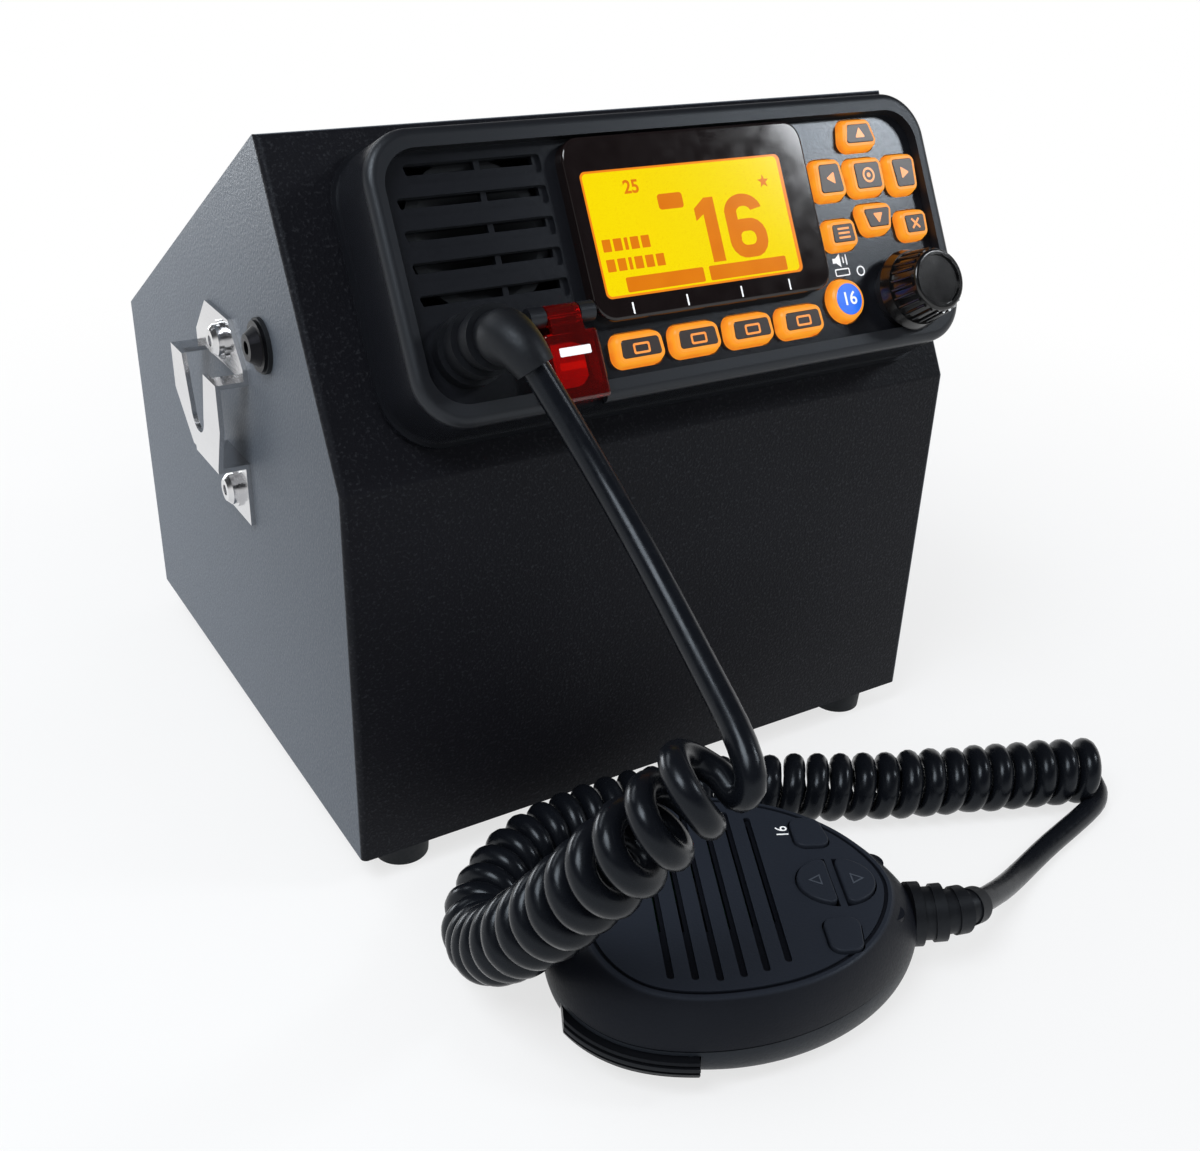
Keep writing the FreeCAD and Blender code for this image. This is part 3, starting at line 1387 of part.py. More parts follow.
# ---------------------------------------------------------------- build
def build():
    parts["cabinet_shell"] = cabinet_shell()
    parts["rear_cover"] = rear_cover()
    parts["base_plate"] = base_plate()
    parts["feet"] = feet()
    parts["foot_screws"] = foot_screws()
    parts["cover_screws"] = cover_screws()
    parts["battery_pack"] = battery_pack()
    parts["battery_strap"] = battery_strap()
    parts["antenna_socket"] = antenna_socket()
    parts["supply_inlet"] = supply_inlet()
    parts["radio_bezel"] = radio_bezel()
    parts["face_gasket"] = face_gasket()
    parts["display_window"] = display_window()
    parts["lcd_module"] = lcd_module()
    parts["front_board"] = front_board()
    parts["keypad_mat"] = keypad_mat()
    parts["speaker"] = speaker()
    parts["radio_chassis"] = radio_chassis()
    parts["bezel_screws"] = bezel_screws()
    parts["side_bolts"] = side_bolts()
    parts["side_washers"] = side_rings(side_washer_radius, 0.0, side_washer_thickness)
    parts["side_spacers"] = side_rings(side_spacer_radius, None, -sheet)
    for name in face_keys:
        parts[name] = face_key(name)
    parts["round_key"] = pressed_key(round_outline, recess_n + key_rise)
    parts["distress_cover"] = distress_cover()
    parts["distress_hinge_pin"] = distress_hinge_pin()
    parts["distress_key"] = distress_key()
    parts["encoder_body"] = encoder_body()
    parts["encoder_shaft"] = encoder_shaft()
    parts["volume_knob"] = volume_knob()
    parts["mic_hanger"] = mic_hanger()
    parts["hanger_screws"] = hanger_screws()
    parts["mic_front_shell"] = mic_front_shell()
    parts["mic_rear_shell"] = mic_rear_shell()
    parts["mic_case_seal"] = mic_case_seal()
    parts["mic_screws"] = mic_screws()
    parts["mic_hanger_button"] = mic_hanger_button()
    parts["mic_board"] = mic_board()
    parts["mic_keypad_mat"] = mic_keypad_mat()
    parts["mic_capsule"] = mic_capsule()
    for name, side in (("mic_channel_key", 1), ("mic_power_key", -1)):
        parts[name] = mic_key(lambda z0, z1, s=side: plate(corner_key_outline(s, 0.0, z0), z1 - z0))
    for name, side in (("mic_up_key", -1), ("mic_down_key", 1)):
        parts[name] = mic_key(lambda z0, z1, s=side: oval_key(s, 0.0, z0, z1))
    parts["ptt_lever"] = ptt_lever()
    parts["radio_cord_boot"] = radio_cord_boot()
    parts["mic_cord_boot"] = mic_cord_boot()
    parts["cord_upper"] = tube(upper_route, cord_diameter, "cord_upper")
    parts["cord_coil"] = tube(coil_route, coil_diameter, "cord_coil")
    parts["cord_lower"] = tube(lower_route, cord_diameter, "cord_lower")


build()
for name, shape in parts.items():
    solids = shape.Solids
    if not solids or not all(s.isValid() for s in solids):
        print("not a valid solid:", name)
    shape.exportStep(f"parts/{name}.step")
print(len(parts), "sub-parts")
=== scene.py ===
# %% [markdown]
# # VHF marine radio in a desk cabinet
# A flush-mounted marine radio sits in the sloping face of a powder-coated steel cabinet, and its fist
# microphone lies in front on a coiled cord. The rigid parts come in as a finished mechanical model, in
# metres, and stay where they are. This script gives them their finishes, winds the cord, lights the
# display and prints the keys.

# %% Load the mechanical model
import math

import bmesh
import bpy
from mathutils import Matrix, Vector


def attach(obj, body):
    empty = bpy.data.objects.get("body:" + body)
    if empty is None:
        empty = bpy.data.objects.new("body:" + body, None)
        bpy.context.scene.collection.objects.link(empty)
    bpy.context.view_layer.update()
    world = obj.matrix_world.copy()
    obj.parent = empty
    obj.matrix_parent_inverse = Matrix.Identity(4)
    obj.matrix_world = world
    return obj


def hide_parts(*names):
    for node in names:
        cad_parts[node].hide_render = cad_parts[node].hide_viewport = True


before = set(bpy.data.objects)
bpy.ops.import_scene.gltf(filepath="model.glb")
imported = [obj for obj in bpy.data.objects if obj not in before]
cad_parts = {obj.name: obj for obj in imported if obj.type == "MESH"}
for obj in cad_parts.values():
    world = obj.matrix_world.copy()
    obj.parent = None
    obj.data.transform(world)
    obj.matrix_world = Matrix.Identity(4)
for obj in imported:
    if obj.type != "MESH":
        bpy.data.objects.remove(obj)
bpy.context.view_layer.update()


# %% [markdown]
# ## Working in real sizes
# Drawings of a radio are in millimetres, and Blender's unit here is the metre, so sizes are written as
# a number times MM. Two parts of the object are tilted: the radio's face, which leans back with the
# cabinet's slope, and the microphone, which lies turned on the table. A matrix for each lets a mark be
# placed by its distance along, up and out of the face, as a draughtsman would dimension it.

# %% Units and the two tilted frames
MM = 0.001
slope = math.radians(29.16)  # of the cabinet's face, from upright
turn = math.radians(-26)  # of the microphone on the table
face_origin = (0.0061, -0.01961, 0.14193)
mic_origin = (-0.0227, -0.1067, 0)


def placed(origin, along, up, out):
    axes = Matrix((along, up, out)).transposed().to_4x4()
    return Matrix.Translation(Vector(origin)) @ axes


face = placed(
    face_origin,
    (1, 0, 0),
    (0, math.sin(slope), math.cos(slope)),
    (0, -math.cos(slope), math.sin(slope)),
)
mic = placed(
    mic_origin,
    (math.cos(turn), math.sin(turn), 0),
    (-math.sin(turn), math.cos(turn), 0),
    (0, 0, 1),
)
print("face tilts", round(math.degrees(slope), 1), "degrees, microphone turned", round(math.degrees(turn)))

# %% [markdown]
# ## Camera
# The view is a three-quarter one from the front left, a little above. The camera's place and angles are
# given outright, because a fitted camera is exact and a tracked one only points. Its up direction leans
# two degrees, as a hand-held camera's does.

# %% Camera
camera_place = (-0.181446, -0.293323, 0.231964)
yaw, pitch, roll = (math.radians(x) for x in (32.5386, 27.9669, 2.1556))
ahead = Vector((math.sin(yaw) * math.cos(pitch), math.cos(yaw) * math.cos(pitch), -math.sin(pitch)))
level = Vector((math.cos(yaw), -math.sin(yaw), 0))
above = level.cross(ahead)
right = level * math.cos(roll) + above * math.sin(roll)
upward = above * math.cos(roll) - level * math.sin(roll)

lens = bpy.data.cameras.new("camera")
lens.sensor_width = 36
lens.lens = 41.317
camera = bpy.data.objects.new("camera", lens)
camera.matrix_world = placed(camera_place, right, upward, -ahead)
bpy.context.scene.collection.objects.link(camera)
bpy.context.scene.camera = camera
print("camera", tuple(round(x, 3) for x in camera.location), lens.lens, "mm")

# %% [markdown]
# ## The curly cord's path
# A microphone cord is one insulated cable with a straight tail at each end and a coil that is wound on
# a rod and baked, so that it springs back. It could be a swept mesh, but a curve keeps its round
# section in every bend and can be edited by its points. The tails' points are listed one by one. For the
# coil, a first curve gives the line down the middle of the coil, and a loop goes round that line.

# %% Points of the cord, in metres from the middle of the cabinet's front
cord_diameter = 5.8 * MM
coil_diameter = 18.5 * MM
cabinet_front = Vector((2.1, -39.1, 0)) * MM

upper_route = [
    (-0.0575, -0.0305, 0.1410), (-0.0520, -0.0390, 0.1280), (-0.0496, -0.0600, 0.1120),
    (-0.0505, -0.0830, 0.0985), (-0.0524, -0.0975, 0.0925), (-0.0544, -0.1046, 0.0875),
    (-0.0552, -0.1015, 0.0825),
]
coil_route = [
    (-0.0572, -0.0997, 0.0920), (-0.0655, -0.0986, 0.0845), (-0.0721, -0.0950, 0.0750),
    (-0.0762, -0.0878, 0.0633), (-0.0786, -0.0765, 0.0470), (-0.0796, -0.0620, 0.0295),
    (-0.0780, -0.0490, 0.0165), (-0.0746, -0.0380, 0.0104), (-0.0709, -0.0313, 0.0097),
    (-0.0585, -0.0208, 0.0096), (-0.0452, -0.0149, 0.0096), (-0.0200, -0.0133, 0.0096),
    (0.0096, -0.0212, 0.0096), (0.0396, -0.0377, 0.0096), (0.0706, -0.0505, 0.0096),
    (0.1018, -0.0625, 0.0096),
]
lower_route = [
    (0.1034, -0.0576, 0.0132), (0.1058, -0.0579, 0.0086), (0.1060, -0.0610, 0.0042),
    (0.1042, -0.0656, 0.0033), (0.0985, -0.0695, 0.0033), (0.0875, -0.0723, 0.0033),
    (0.0720, -0.0758, 0.0033), (0.0555, -0.0812, 0.0046), (0.0415, -0.0870, 0.0094),
    (0.0288, -0.0909, 0.0142),
]
print("hand-placed points:", len(upper_route), len(coil_route), len(lower_route))

# %% A curve through control points


def nurbs(name, points, resolution, thickness=0.0):
    curve = bpy.data.curves.new(name, "CURVE")
    curve.dimensions = "3D"
    spline = curve.splines.new("NURBS")
    spline.points.add(len(points) - 1)
    for place, point in zip(spline.points, points):
        place.co = (*(Vector(point) + cabinet_front), 1)
        place.radius = thickness / 2
    spline.order_u = 3
    spline.use_endpoint_u = True
    curve.resolution_u = resolution
    curve.bevel_depth = 1.0 if thickness else 0.0  # times each point's radius
    curve.bevel_resolution = 5
    curve.use_fill_caps = True
    made = bpy.data.objects.new(name, curve)
    bpy.context.scene.collection.objects.link(made)
    return made


def line_of(curve_object):
    mesh = bpy.data.meshes.new_from_object(curve_object)
    line = [v.co - cabinet_front for v in mesh.vertices]
    bpy.data.meshes.remove(mesh)
    return line


def length_of(line):
    return sum((b - a).length for a, b in zip(line, line[1:]))


guide = nurbs("coil_middle", coil_route, resolution=120)
middle = line_of(guide)
bpy.data.objects.remove(guide)
print("middle line of the coil:", round(length_of(middle), 4), "m")

# %% [markdown]
# ### Winding the coil
# The loop walks along the middle line and carries a direction square to it, turned only as much as the
# line turns, so that the winding has no twist of its own. The turns are pulled apart where the cord
# hangs from the radio and lie nearly against each other on the table, so the pitch is a short list of
# distances and values. A real coil is never perfectly even, so two slow waves vary its width a little.

# %% Helix round the middle line
pitches = [  # distance along the middle line, and pitch there, in mm
    (0, 9.6), (9, 8.0), (45, 8.0), (75, 7.9), (105, 7.5), (130, 6.8), (150, 6.35), (400, 6.3),
]
points_per_turn = 16
cord_offset = (coil_diameter - cord_diameter) / 2
outward = 1.012  # the curve runs a little inside its control points
waves = [(0.025, 0.37), (0.015, 0.61)]  # depth of each, and its pace against the winding
first_side = Vector((0.66, 0.31, -0.68))  # where the upper tail joins, below and to the right
last_side = Vector((0.06, 0.16, 0.98))  # where the lower tail leaves, on top
lead_in, lead_out = 3.6 * MM, 1.2 * MM


def pitch_at(distance):
    for (d0, p0), (d1, p1) in zip(pitches, pitches[1:]):
        if distance <= d1 * MM:
            return (p0 + (p1 - p0) * (distance / MM - d0) / (d1 - d0)) * MM


def wind(line):
    travelled, angle, rows = 0.0, 0.0, []
    side = first_side
    for here, there in zip(line, line[1:]):
        way = (there - here).normalized()
        side = (side - way * side.dot(way)).normalized()
        rows.append((travelled, angle, here, way, side))
        step = (there - here).length
        angle += math.tau * step / pitch_at(travelled) * (travelled >= lead_in)
        travelled += step
    end, wound, _, way, side = next(row for row in reversed(rows) if row[0] <= travelled - lead_out)
    wanted = math.atan2(side.cross(way).dot(last_side), side.dot(last_side))
    spare = (wanted - wound + math.pi) % math.tau - math.pi
    points, due = [], 0.0
    for distance, angle, here, way, side in rows:
        if lead_in <= distance <= end:
            angle += spare * distance / end
            if angle >= due:
                due += math.tau / points_per_turn
                wave = sum((depth * math.sin(angle * pace) for depth, pace in waves), 1)
                reach = cord_offset * outward * min(wave, 1.0)
                points.append(here + (side * math.cos(angle) + side.cross(way) * math.sin(angle)) * reach)
    return points, wound / math.tau


helix, turns = wind(middle)
print("turns:", round(turns, 1), "points:", len(helix))

# %% [markdown]
# ### One cord
# Both tails and the coil are points of one spline, so the jacket runs on without a joint. The length is
# measured on the finished line, because the whole cord is in sight.

# %% The cord itself
cord_points = [*upper_route, *helix, *lower_route]
cord = nurbs("cord", cord_points, resolution=3, thickness=cord_diameter)
bare = nurbs("measured", cord_points, resolution=6)
cord_length = length_of(line_of(bare))
bpy.data.objects.remove(bare)
cord.data.splines[0].use_smooth = True
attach(cord, "radio_set")
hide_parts("cord_upper", "cord_coil", "cord_lower")
print("cord length:", round(cord_length, 3), "m")

# %% [markdown]
# ## Colour and nodes
# Colours are picked on a screen as hex values, which are in sRGB, and the renderer reckons in linear
# light, so one function turns one into the other. A material is a short chain of nodes; one small
# function adds a node, sets its choices and fills or links its inputs. The links that come back in
# every chain have a function each, so that a finish reads as a list of what the surface is: noise of a
# real size, a value spread over a new range, a mix of two colours, and relief.

# %% Helpers for finishes


def colour(hex_value):
    parts = [int(hex_value[i : i + 2], 16) / 255 for i in (1, 3, 5)]
    return (*(x / 12.92 if x <= 0.04045 else ((x + 0.055) / 1.055) ** 2.4 for x in parts), 1)


def add(tree, kind, inputs=None, **choices):
    node = tree.nodes.new("ShaderNode" + kind)
    for name, value in choices.items():
        setattr(node, name, value)
    for name, value in (inputs or {}).items():
        if isinstance(value, bpy.types.NodeSocket):
            tree.links.new(value, node.inputs[name])
        else:
            node.inputs[name].default_value = value
    return node


def noise(tree, where, size, detail=2.0, roughness=0.5):
    inputs = {"Vector": where, "Scale": 1 / (size * MM), "Detail": detail, "Roughness": roughness}
    return add(tree, "TexNoise", inputs).outputs["Fac"]


def spread(tree, value, low, high, new_low=0.0, new_high=1.0, **choices):
    inputs = {"Value": value, "From Min": low, "From Max": high, "To Min": new_low, "To Max": new_high}
    return add(tree, "MapRange", inputs, **choices).outputs["Result"]


def mixed(tree, share, first, second):
    first, second = (colour(x) if isinstance(x, str) else x for x in (first, second))
    return add(tree, "Mix", {"Factor": share, 6: first, 7: second}, data_type="RGBA").outputs[2]


def relief(tree, height, depth, strength):
    inputs = {"Height": height, "Distance": depth * MM, "Strength": strength}
    return add(tree, "Bump", inputs).outputs["Normal"]


def blank(name):
    made = bpy.data.materials.new(name)
    made.use_nodes = True
    made.node_tree.nodes.clear()
    return made, made.node_tree, add(made.node_tree, "TexCoord").outputs["Object"]


def surface(tree, inputs):
    body = add(tree, "BsdfPrincipled", inputs)
    add(tree, "OutputMaterial", {"Surface": body.outputs[0]})


def finish_with(material, *names):
    for name in names:
        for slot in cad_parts[name].material_slots:
            slot.material = material
    print(material.name, "on", len(names), "parts")


print("black #101012 is", [round(x, 4) for x in colour("#101012")[:3]])

# %% [markdown]
# ## Table, surround and lamps
# A black object shows little but what it reflects, so the surround matters more than the lamps. The
# table is white and fades to plain white away from the object, and keeps the object's shadow close by.
# The surround is bright near the horizon and dark overhead, as in a tent with an open top; a light box
# at the right is placed where the radio's face mirrors it into view.

# %% Table
scene = bpy.context.scene
scene.view_settings.view_transform = "Standard"
fade_start, fade_end = 0.16, 0.5  # m from the middle of the table
plain_near = 0.72  # how plain the white is before the fade
table_half = 9


def seen_directly(tree):
    ray = add(tree, "LightPath").outputs
    seen = add(tree, "Math", {0: ray["Is Camera Ray"], 1: ray["Is Glossy Ray"]}, operation="MAXIMUM")
    inputs = {0: seen.outputs[0], 1: ray["Is Transmission Ray"]}
    return add(tree, "Math", inputs, operation="MAXIMUM").outputs[0]


table_white, tree, where = blank("white_table_lacquer")
away = add(tree, "VectorMath", {0: where}, operation="LENGTH").outputs["Value"]
fade = spread(tree, away, fade_start, fade_end, interpolation_type="SMOOTHSTEP")
shade = mixed(tree, noise(tree, where, 60), "#d3d5d7", "#d9dbdd")
lacquer = add(tree, "BsdfPrincipled", {"Base Color": shade, "Roughness": 0.6, "IOR": 1.45})
glow = add(tree, "Emission", {"Color": colour("#ffffff"), "Strength": 1.0})
plain_share = spread(tree, fade, 0.0, 1.0, plain_near)
share = add(tree, "Math", {0: seen_directly(tree), 1: plain_share}, operation="MULTIPLY")
both = add(tree, "MixShader", {0: share.outputs[0], 1: lacquer.outputs[0], 2: glow.outputs[0]})
add(tree, "OutputMaterial", {"Surface": both.outputs[0]})

sheet = bpy.data.meshes.new("table")
corners = [(x * table_half, y * table_half, 0) for x, y in ((-1, -1), (1, -1), (1, 1), (-1, 1))]
sheet.from_pydata(corners, [], [(0, 1, 2, 3)])
sheet.materials.append(table_white)
table = bpy.data.objects.new("table", sheet)
scene.collection.objects.link(table)
print("table laid")

# %% Surround and lamps
bright_below, dark_above = 0.04, 0.42  # upward part of a direction of length one
surround = bpy.data.worlds.new("surround")
surround.use_nodes = True
scene.world = surround
tree = surround.node_tree
tree.nodes.clear()
upward_part = add(tree, "SeparateXYZ", {0: add(tree, "TexCoord").outputs["Generated"]}).outputs["Z"]
climb = spread(tree, upward_part, bright_below, dark_above, interpolation_type="SMOOTHSTEP")
tent = mixed(tree, climb, "#ffffff", "#3c3d40")
mirrored = add(tree, "Background", {"Color": tent, "Strength": 1.0})
plain = add(tree, "Background", {"Color": colour("#ffffff"), "Strength": 0.62})
both = add(tree, "MixShader", {0: seen_directly(tree), 1: plain.outputs[0], 2: mirrored.outputs[0]})
add(tree, "OutputWorld", {"Surface": both.outputs[0]})


def lamp(name, place, aim, width, depth, watts):
    light = bpy.data.lights.new(name, "AREA")
    light.color = (0.93, 0.965, 1.0)
    light.shape = "RECTANGLE"
    light.size, light.size_y, light.energy = width, depth, watts
    made = bpy.data.objects.new(name, light)
    made.location = place
    made.rotation_euler = (Vector(aim) - Vector(place)).to_track_quat("-Z", "Y").to_euler()
    scene.collection.objects.link(made)


# place and aim in m, width and depth in m, watts
lamp("key_left", (-0.55, -0.25, 0.95), (0, -0.02, 0.1), 0.45, 0.45, 8.0)
lamp("box_right", (0.68, -0.47, 0.68), (0.06, -0.006, 0.166), 0.17, 0.17, 2.2)
lamp("strip_behind", (-0.35, 0.75, 0.75), (0, 0, 0.12), 0.8, 0.2, 2.2)
lamp("strip_left", (-0.42, 0.95, 0.12), (-0.09, 0, 0.07), 0.5, 0.22, 3.2)

# %% [markdown]
# ## Cabinet: fine-textured powder coat
# The cabinet is folded steel with a baked powder coat. The powder melts into tiny beads that do not
# quite flow together, about half a millimetre across, which break the highlights into a fine sparkle.
# Noise gives that relief, drawn somewhat coarser to be seen, and a second, wide noise stands for the
# uneven film. The tops of the beads are painted paler, a painted sparkle, and at a glancing angle a
# pale grey is mixed into the colour, a painted sheen.

# %% Powder coat
cool_white = colour("#e6eff8")  # tints what black plastic and powder reflect
powder_coat, tree, where = blank("black_powder_coat")
beads = noise(tree, where, 0.75, roughness=0.6)
film = mixed(tree, noise(tree, where, 35, 3.0), "#0b0b0f", "#121217")
# painted sparkle: the tops of the beads are painted paler
film_with_painted_sparkle = mixed(tree, spread(tree, beads, 0.55, 0.75, 0.0, 0.32), film, "#3e4044")
# painted sheen: a pale grey comes into the colour at glancing angles
painted_glancing_sheen = add(tree, "LayerWeight", {"Blend": 0.5}).outputs["Facing"]
surface(tree, {
    "Base Color": mixed(tree, spread(tree, painted_glancing_sheen, 0.5, 0.85), film_with_painted_sparkle, "#626972"),
    "Roughness": spread(tree, beads, 0.3, 0.7, 0.55, 0.40), "IOR": 1.5,
    "Specular IOR Level": 0.13, "Specular Tint": cool_white, "Normal": relief(tree, beads, 0.16, 0.8),
})
finish_with(powder_coat, "cabinet_shell", "rear_cover", "base_plate")

# %% [markdown]
# ## Radio and microphone cases: spark-eroded ABS
# Both cases are moulded in black ABS against tools with a fine eroded grain, so they are satin rather
# than shiny. The grain is about a third of a millimetre; it is drawn coarser to be seen. The
# microphone's raised plate faces up into the light, and that light is painted in: the plate's colour
# is paler, and the paler colour comes in with the height.

# %% Case plastics
painted_light_low, painted_light_high = 24.4 * MM, 24.9 * MM  # heights between which the painted light on the raised plate comes in


def moulded(name, dark, light, grain, depth, rough, specular=0.5, painted_light_colour=None):
    made, tree, where = blank(name)
    pits = noise(tree, where, grain)
    tint = mixed(tree, noise(tree, where, 18, 3.0), dark, light)
    if painted_light_colour:
        height = add(tree, "SeparateXYZ", {0: where}).outputs["Z"]
        tint = mixed(tree, spread(tree, height, painted_light_low, painted_light_high), tint, painted_light_colour)
    surface(tree, {
        "Base Color": tint, "Roughness": spread(tree, pits, 0.3, 0.7, rough + 0.05, rough - 0.05),
        "IOR": 1.53, "Specular IOR Level": specular, "Specular Tint": cool_white,
        "Normal": relief(tree, pits, depth, 0.7),
    })
    return made


# two colours, grain in mm, depth of its relief in mm, roughness, strength of the reflections
# the paler top of the microphone is painted light, where the light from above falls on the plate
mic_abs = moulded("microphone_case_abs", "#101218", "#16181e", 0.6, 0.06, 0.40, 0.1, painted_light_colour="#23272f")
finish_with(mic_abs, "mic_front_shell", "mic_up_key", "mic_down_key", "mic_channel_key", "mic_power_key")
rear_abs = moulded("microphone_back_abs", "#16191e", "#1c2026", 0.6, 0.05, 0.45, 0.2)
finish_with(rear_abs, "mic_rear_shell", "mic_hanger_button")
socket_nylon = moulded("black_nylon", "#101114", "#16171a", 0.8, 0.03, 0.5, 0.35)
finish_with(socket_nylon, "battery_pack", "supply_inlet", "encoder_body", "side_spacers")

# %% [markdown]
# ## Rubber and the cord's jacket
# The feet, gasket, boots and talk pad are moulded rubber: dull and nearly black. The cord's jacket is
# polyurethane, which is smoother and gives the long soft highlights along each turn.

# %% Rubber and jacket
foot_rubber = moulded("foot_rubber", "#0a0b0d", "#101114", 0.9, 0.04, 0.62, 0.3)
finish_with(foot_rubber, "feet", "face_gasket", "side_washers", "mic_case_seal", "battery_strap", "speaker")
boot_rubber = moulded("boot_rubber", "#0a0b0e", "#101115", 0.8, 0.012, 0.48, 0.25)
finish_with(boot_rubber, "radio_cord_boot", "mic_cord_boot")
pad_rubber = moulded("talk_pad_rubber", "#090a0d", "#0f1014", 0.8, 0.03, 0.42, 0.25)
finish_with(pad_rubber, "ptt_lever")
jacket = moulded("polyurethane_jacket", "#0a0c10", "#0f1116", 2.2, 0.002, 0.26, 0.2)
cord.data.materials.append(jacket)
print("cord finished with", jacket.name)

# %% [markdown]
# ## Metals
# The hanger and its screws are polished stainless steel, the side bolts are blackened, and the antenna
# socket is nickel plated. Polished sheet still carries the fine lines of the belt it was polished on,
# so a stretched noise varies its roughness. Metals keep their default IOR: their colour is the base.

# %% Metals


def metal(name, dark, light, rough, line=0.4, stretch=12.0):
    made, tree, where = blank(name)
    where = add(tree, "Mapping", {"Vector": where, "Scale": (1, 1 / stretch, 1)}).outputs[0]
    lines = noise(tree, where, line, 3.0)
    surface(tree, {
        "Base Color": mixed(tree, noise(tree, where, 9), dark, light), "Metallic": 1.0,
        "Roughness": spread(tree, lines, 0.3, 0.7, rough - 0.04, rough + 0.06),
        "Normal": relief(tree, lines, 0.004, 0.5),
    })
    return made


stainless = metal("polished_stainless_steel", "#c4c4c6", "#dadadb", 0.16)
finish_with(stainless, "mic_hanger", "hanger_screws", "distress_hinge_pin")
nickel = metal("nickel_plate", "#b5b0a6", "#c9c4ba", 0.2)
finish_with(nickel, "antenna_socket")
zinc = metal("zinc_plated_steel", "#9fa2a6", "#b7babd", 0.35)
finish_with(zinc, "mic_screws", "bezel_screws", "encoder_shaft")
blackened = metal("blackened_steel", "#18181a", "#222225", 0.42)
finish_with(blackened, "cover_screws", "foot_screws", "side_bolts")
casting = metal("black_die_casting", "#1b1c1d", "#26272a", 0.5, line=0.9, stretch=1.0)
finish_with(casting, "radio_chassis")

# %% [markdown]
# ## Boards and mats inside
# The circuit boards are glass epoxy under a green solder mask; the key mats are cloudy silicone. They
# are hardly seen, but the open slots show a little of them.

# %% Inner parts
solder_mask = moulded("solder_mask", "#0f3d22", "#14502c", 1.2, 0.02, 0.3)
finish_with(solder_mask, "front_board", "mic_board", "lcd_module")
mat_silicone = moulded("cloudy_silicone", "#b9b6ae", "#c9c6be", 2.0, 0.02, 0.45)
finish_with(mat_silicone, "keypad_mat", "mic_keypad_mat")
grille_felt = moulded("capsule_felt", "#161616", "#222222", 0.5, 0.1, 0.9)
finish_with(grille_felt, "mic_capsule")

# %% [markdown]
# ## Knob and display window
# Both are polished black: the knob is painted ABS, the window is acrylic printed black from behind.
# Gloss this high shows dust and rub marks first, so one noise varies the roughness and, barely, the
# colour.

# %% Gloss blacks


def polished(name, dark, light, rough, ior):
    made, tree, where = blank(name)
    rubs = noise(tree, where, 4, 4.0)
    surface(tree, {
        "Base Color": mixed(tree, rubs, dark, light), "IOR": ior,
        "Roughness": spread(tree, rubs, 0.3, 0.7, rough, rough + 0.05),
    })
    return made


knob_gloss = polished("knob_gloss_abs", "#070708", "#0c0c0d", 0.16, 1.53)
finish_with(knob_gloss, "volume_knob")
window_acrylic = polished("window_acrylic", "#0e0909", "#150e0e", 0.07, 1.49)
finish_with(window_acrylic, "display_window")

# %% [markdown]
# ## The bezel's two textures
# The mould for the bezel was eroded coarsely for the rim and finely for the sunk panel that carries the
# keys, so that fingers and print meet a smoother surface. One material does both: its roughness rises
# over the first half millimetre above the panel.

# %% Height above the panel, and the bezel's plastic
panel_level = 16.2  # of the sunk panel, in mm out from the face's origin
out_of_face = face.to_3x3() @ Vector((0, 0, 1))
panel_reach = panel_level * MM + face.translation.dot(out_of_face)


def above_panel(tree, where, low, high):
    reach = add(tree, "VectorMath", {0: where, 1: out_of_face}, operation="DOT_PRODUCT").outputs["Value"]
    return spread(tree, reach, panel_reach + low * MM, panel_reach + high * MM)


radio_abs, tree, where = blank("radio_case_abs")
pits = noise(tree, where, 0.55)
grade = spread(tree, above_panel(tree, where, 0.1, 0.6), 0.0, 1.0, 0.24, 0.42)
sheen = spread(tree, pits, 0.3, 0.7, 0.03, -0.03)
surface(tree, {
    "Base Color": mixed(tree, noise(tree, where, 18, 3.0), "#0f1014", "#15161a"),
    "Roughness": add(tree, "Math", {0: grade, 1: sheen}, operation="ADD").outputs[0], "IOR": 1.53,
    "Specular IOR Level": 0.4, "Specular Tint": cool_white, "Normal": relief(tree, pits, 0.025, 0.6),
})
finish_with(radio_abs, "radio_bezel")

# %% [markdown]
# ## Lit keys
# Each key is a silicone dome, lit from below, with a black printed top. Light leaves it at the leaning
# sides, which glow orange, redder where the silicone is thick at the foot. The glow is worked out from
# the height above the panel, so one finish serves all the keys.

# %% Lit silicone
lit_silicone, tree, where = blank("lit_orange_silicone")
climbing = mixed(tree, above_panel(tree, where, 0.1, 1.6), "#e04e12", "#ff9622")
surface(tree, {
    "Base Color": colour("#5a1e04"), "Roughness": 0.38, "IOR": 1.41,
    "Emission Color": mixed(tree, noise(tree, where, 3), climbing, "#ffb030"), "Emission Strength": 0.92,
})
keys = {  # middle u and v, width, height, how much narrower at the top and at the foot, corner radius
    "soft_key_1": (-21.2, -21.3, 14.2, 7.8, 0.06, 0.0, 2.6),
    "soft_key_2": (-5.5, -21.3, 14.2, 7.8, 0.06, 0.0, 2.6),
    "soft_key_3": (10.0, -21.3, 14.2, 7.8, 0.06, 0.0, 2.6),
    "soft_key_4": (25.4, -21.3, 14.2, 7.8, 0.06, 0.0, 2.6),
    "channel_up_key": (55.3, 22.1, 12.6, 8.2, 0.28, 0.0, 2.4),
    "channel_down_key": (55.5, 0.8, 12.0, 8.2, 0.0, 0.28, 2.4),
    "enter_key": (55.3, 11.5, 11.6, 10.0, 0.0, 0.0, 2.6),
    "left_key": (43.2, 11.7, 10.8, 10.6, 0.16, 0.0, 2.6),
    "right_key": (67.2, 11.2, 10.4, 10.6, 0.0, 0.16, 2.6),
    "menu_key": (43.5, -2.0, 10.4, 8.0, 0.08, 0.0, 2.4),
    "clear_key": (67.3, -1.9, 10.0, 8.0, 0.0, 0.08, 2.4),
}
finish_with(lit_silicone, *keys)

# %% [markdown]
# ### Printed tops
# The black print is a thin plate that follows the key's outline, inside it. An outline with rounded
# corners, pulled up into a plate, makes every key top, mark and segment; the key tops get a soft edge.

# %% Outlines and plates, in mm


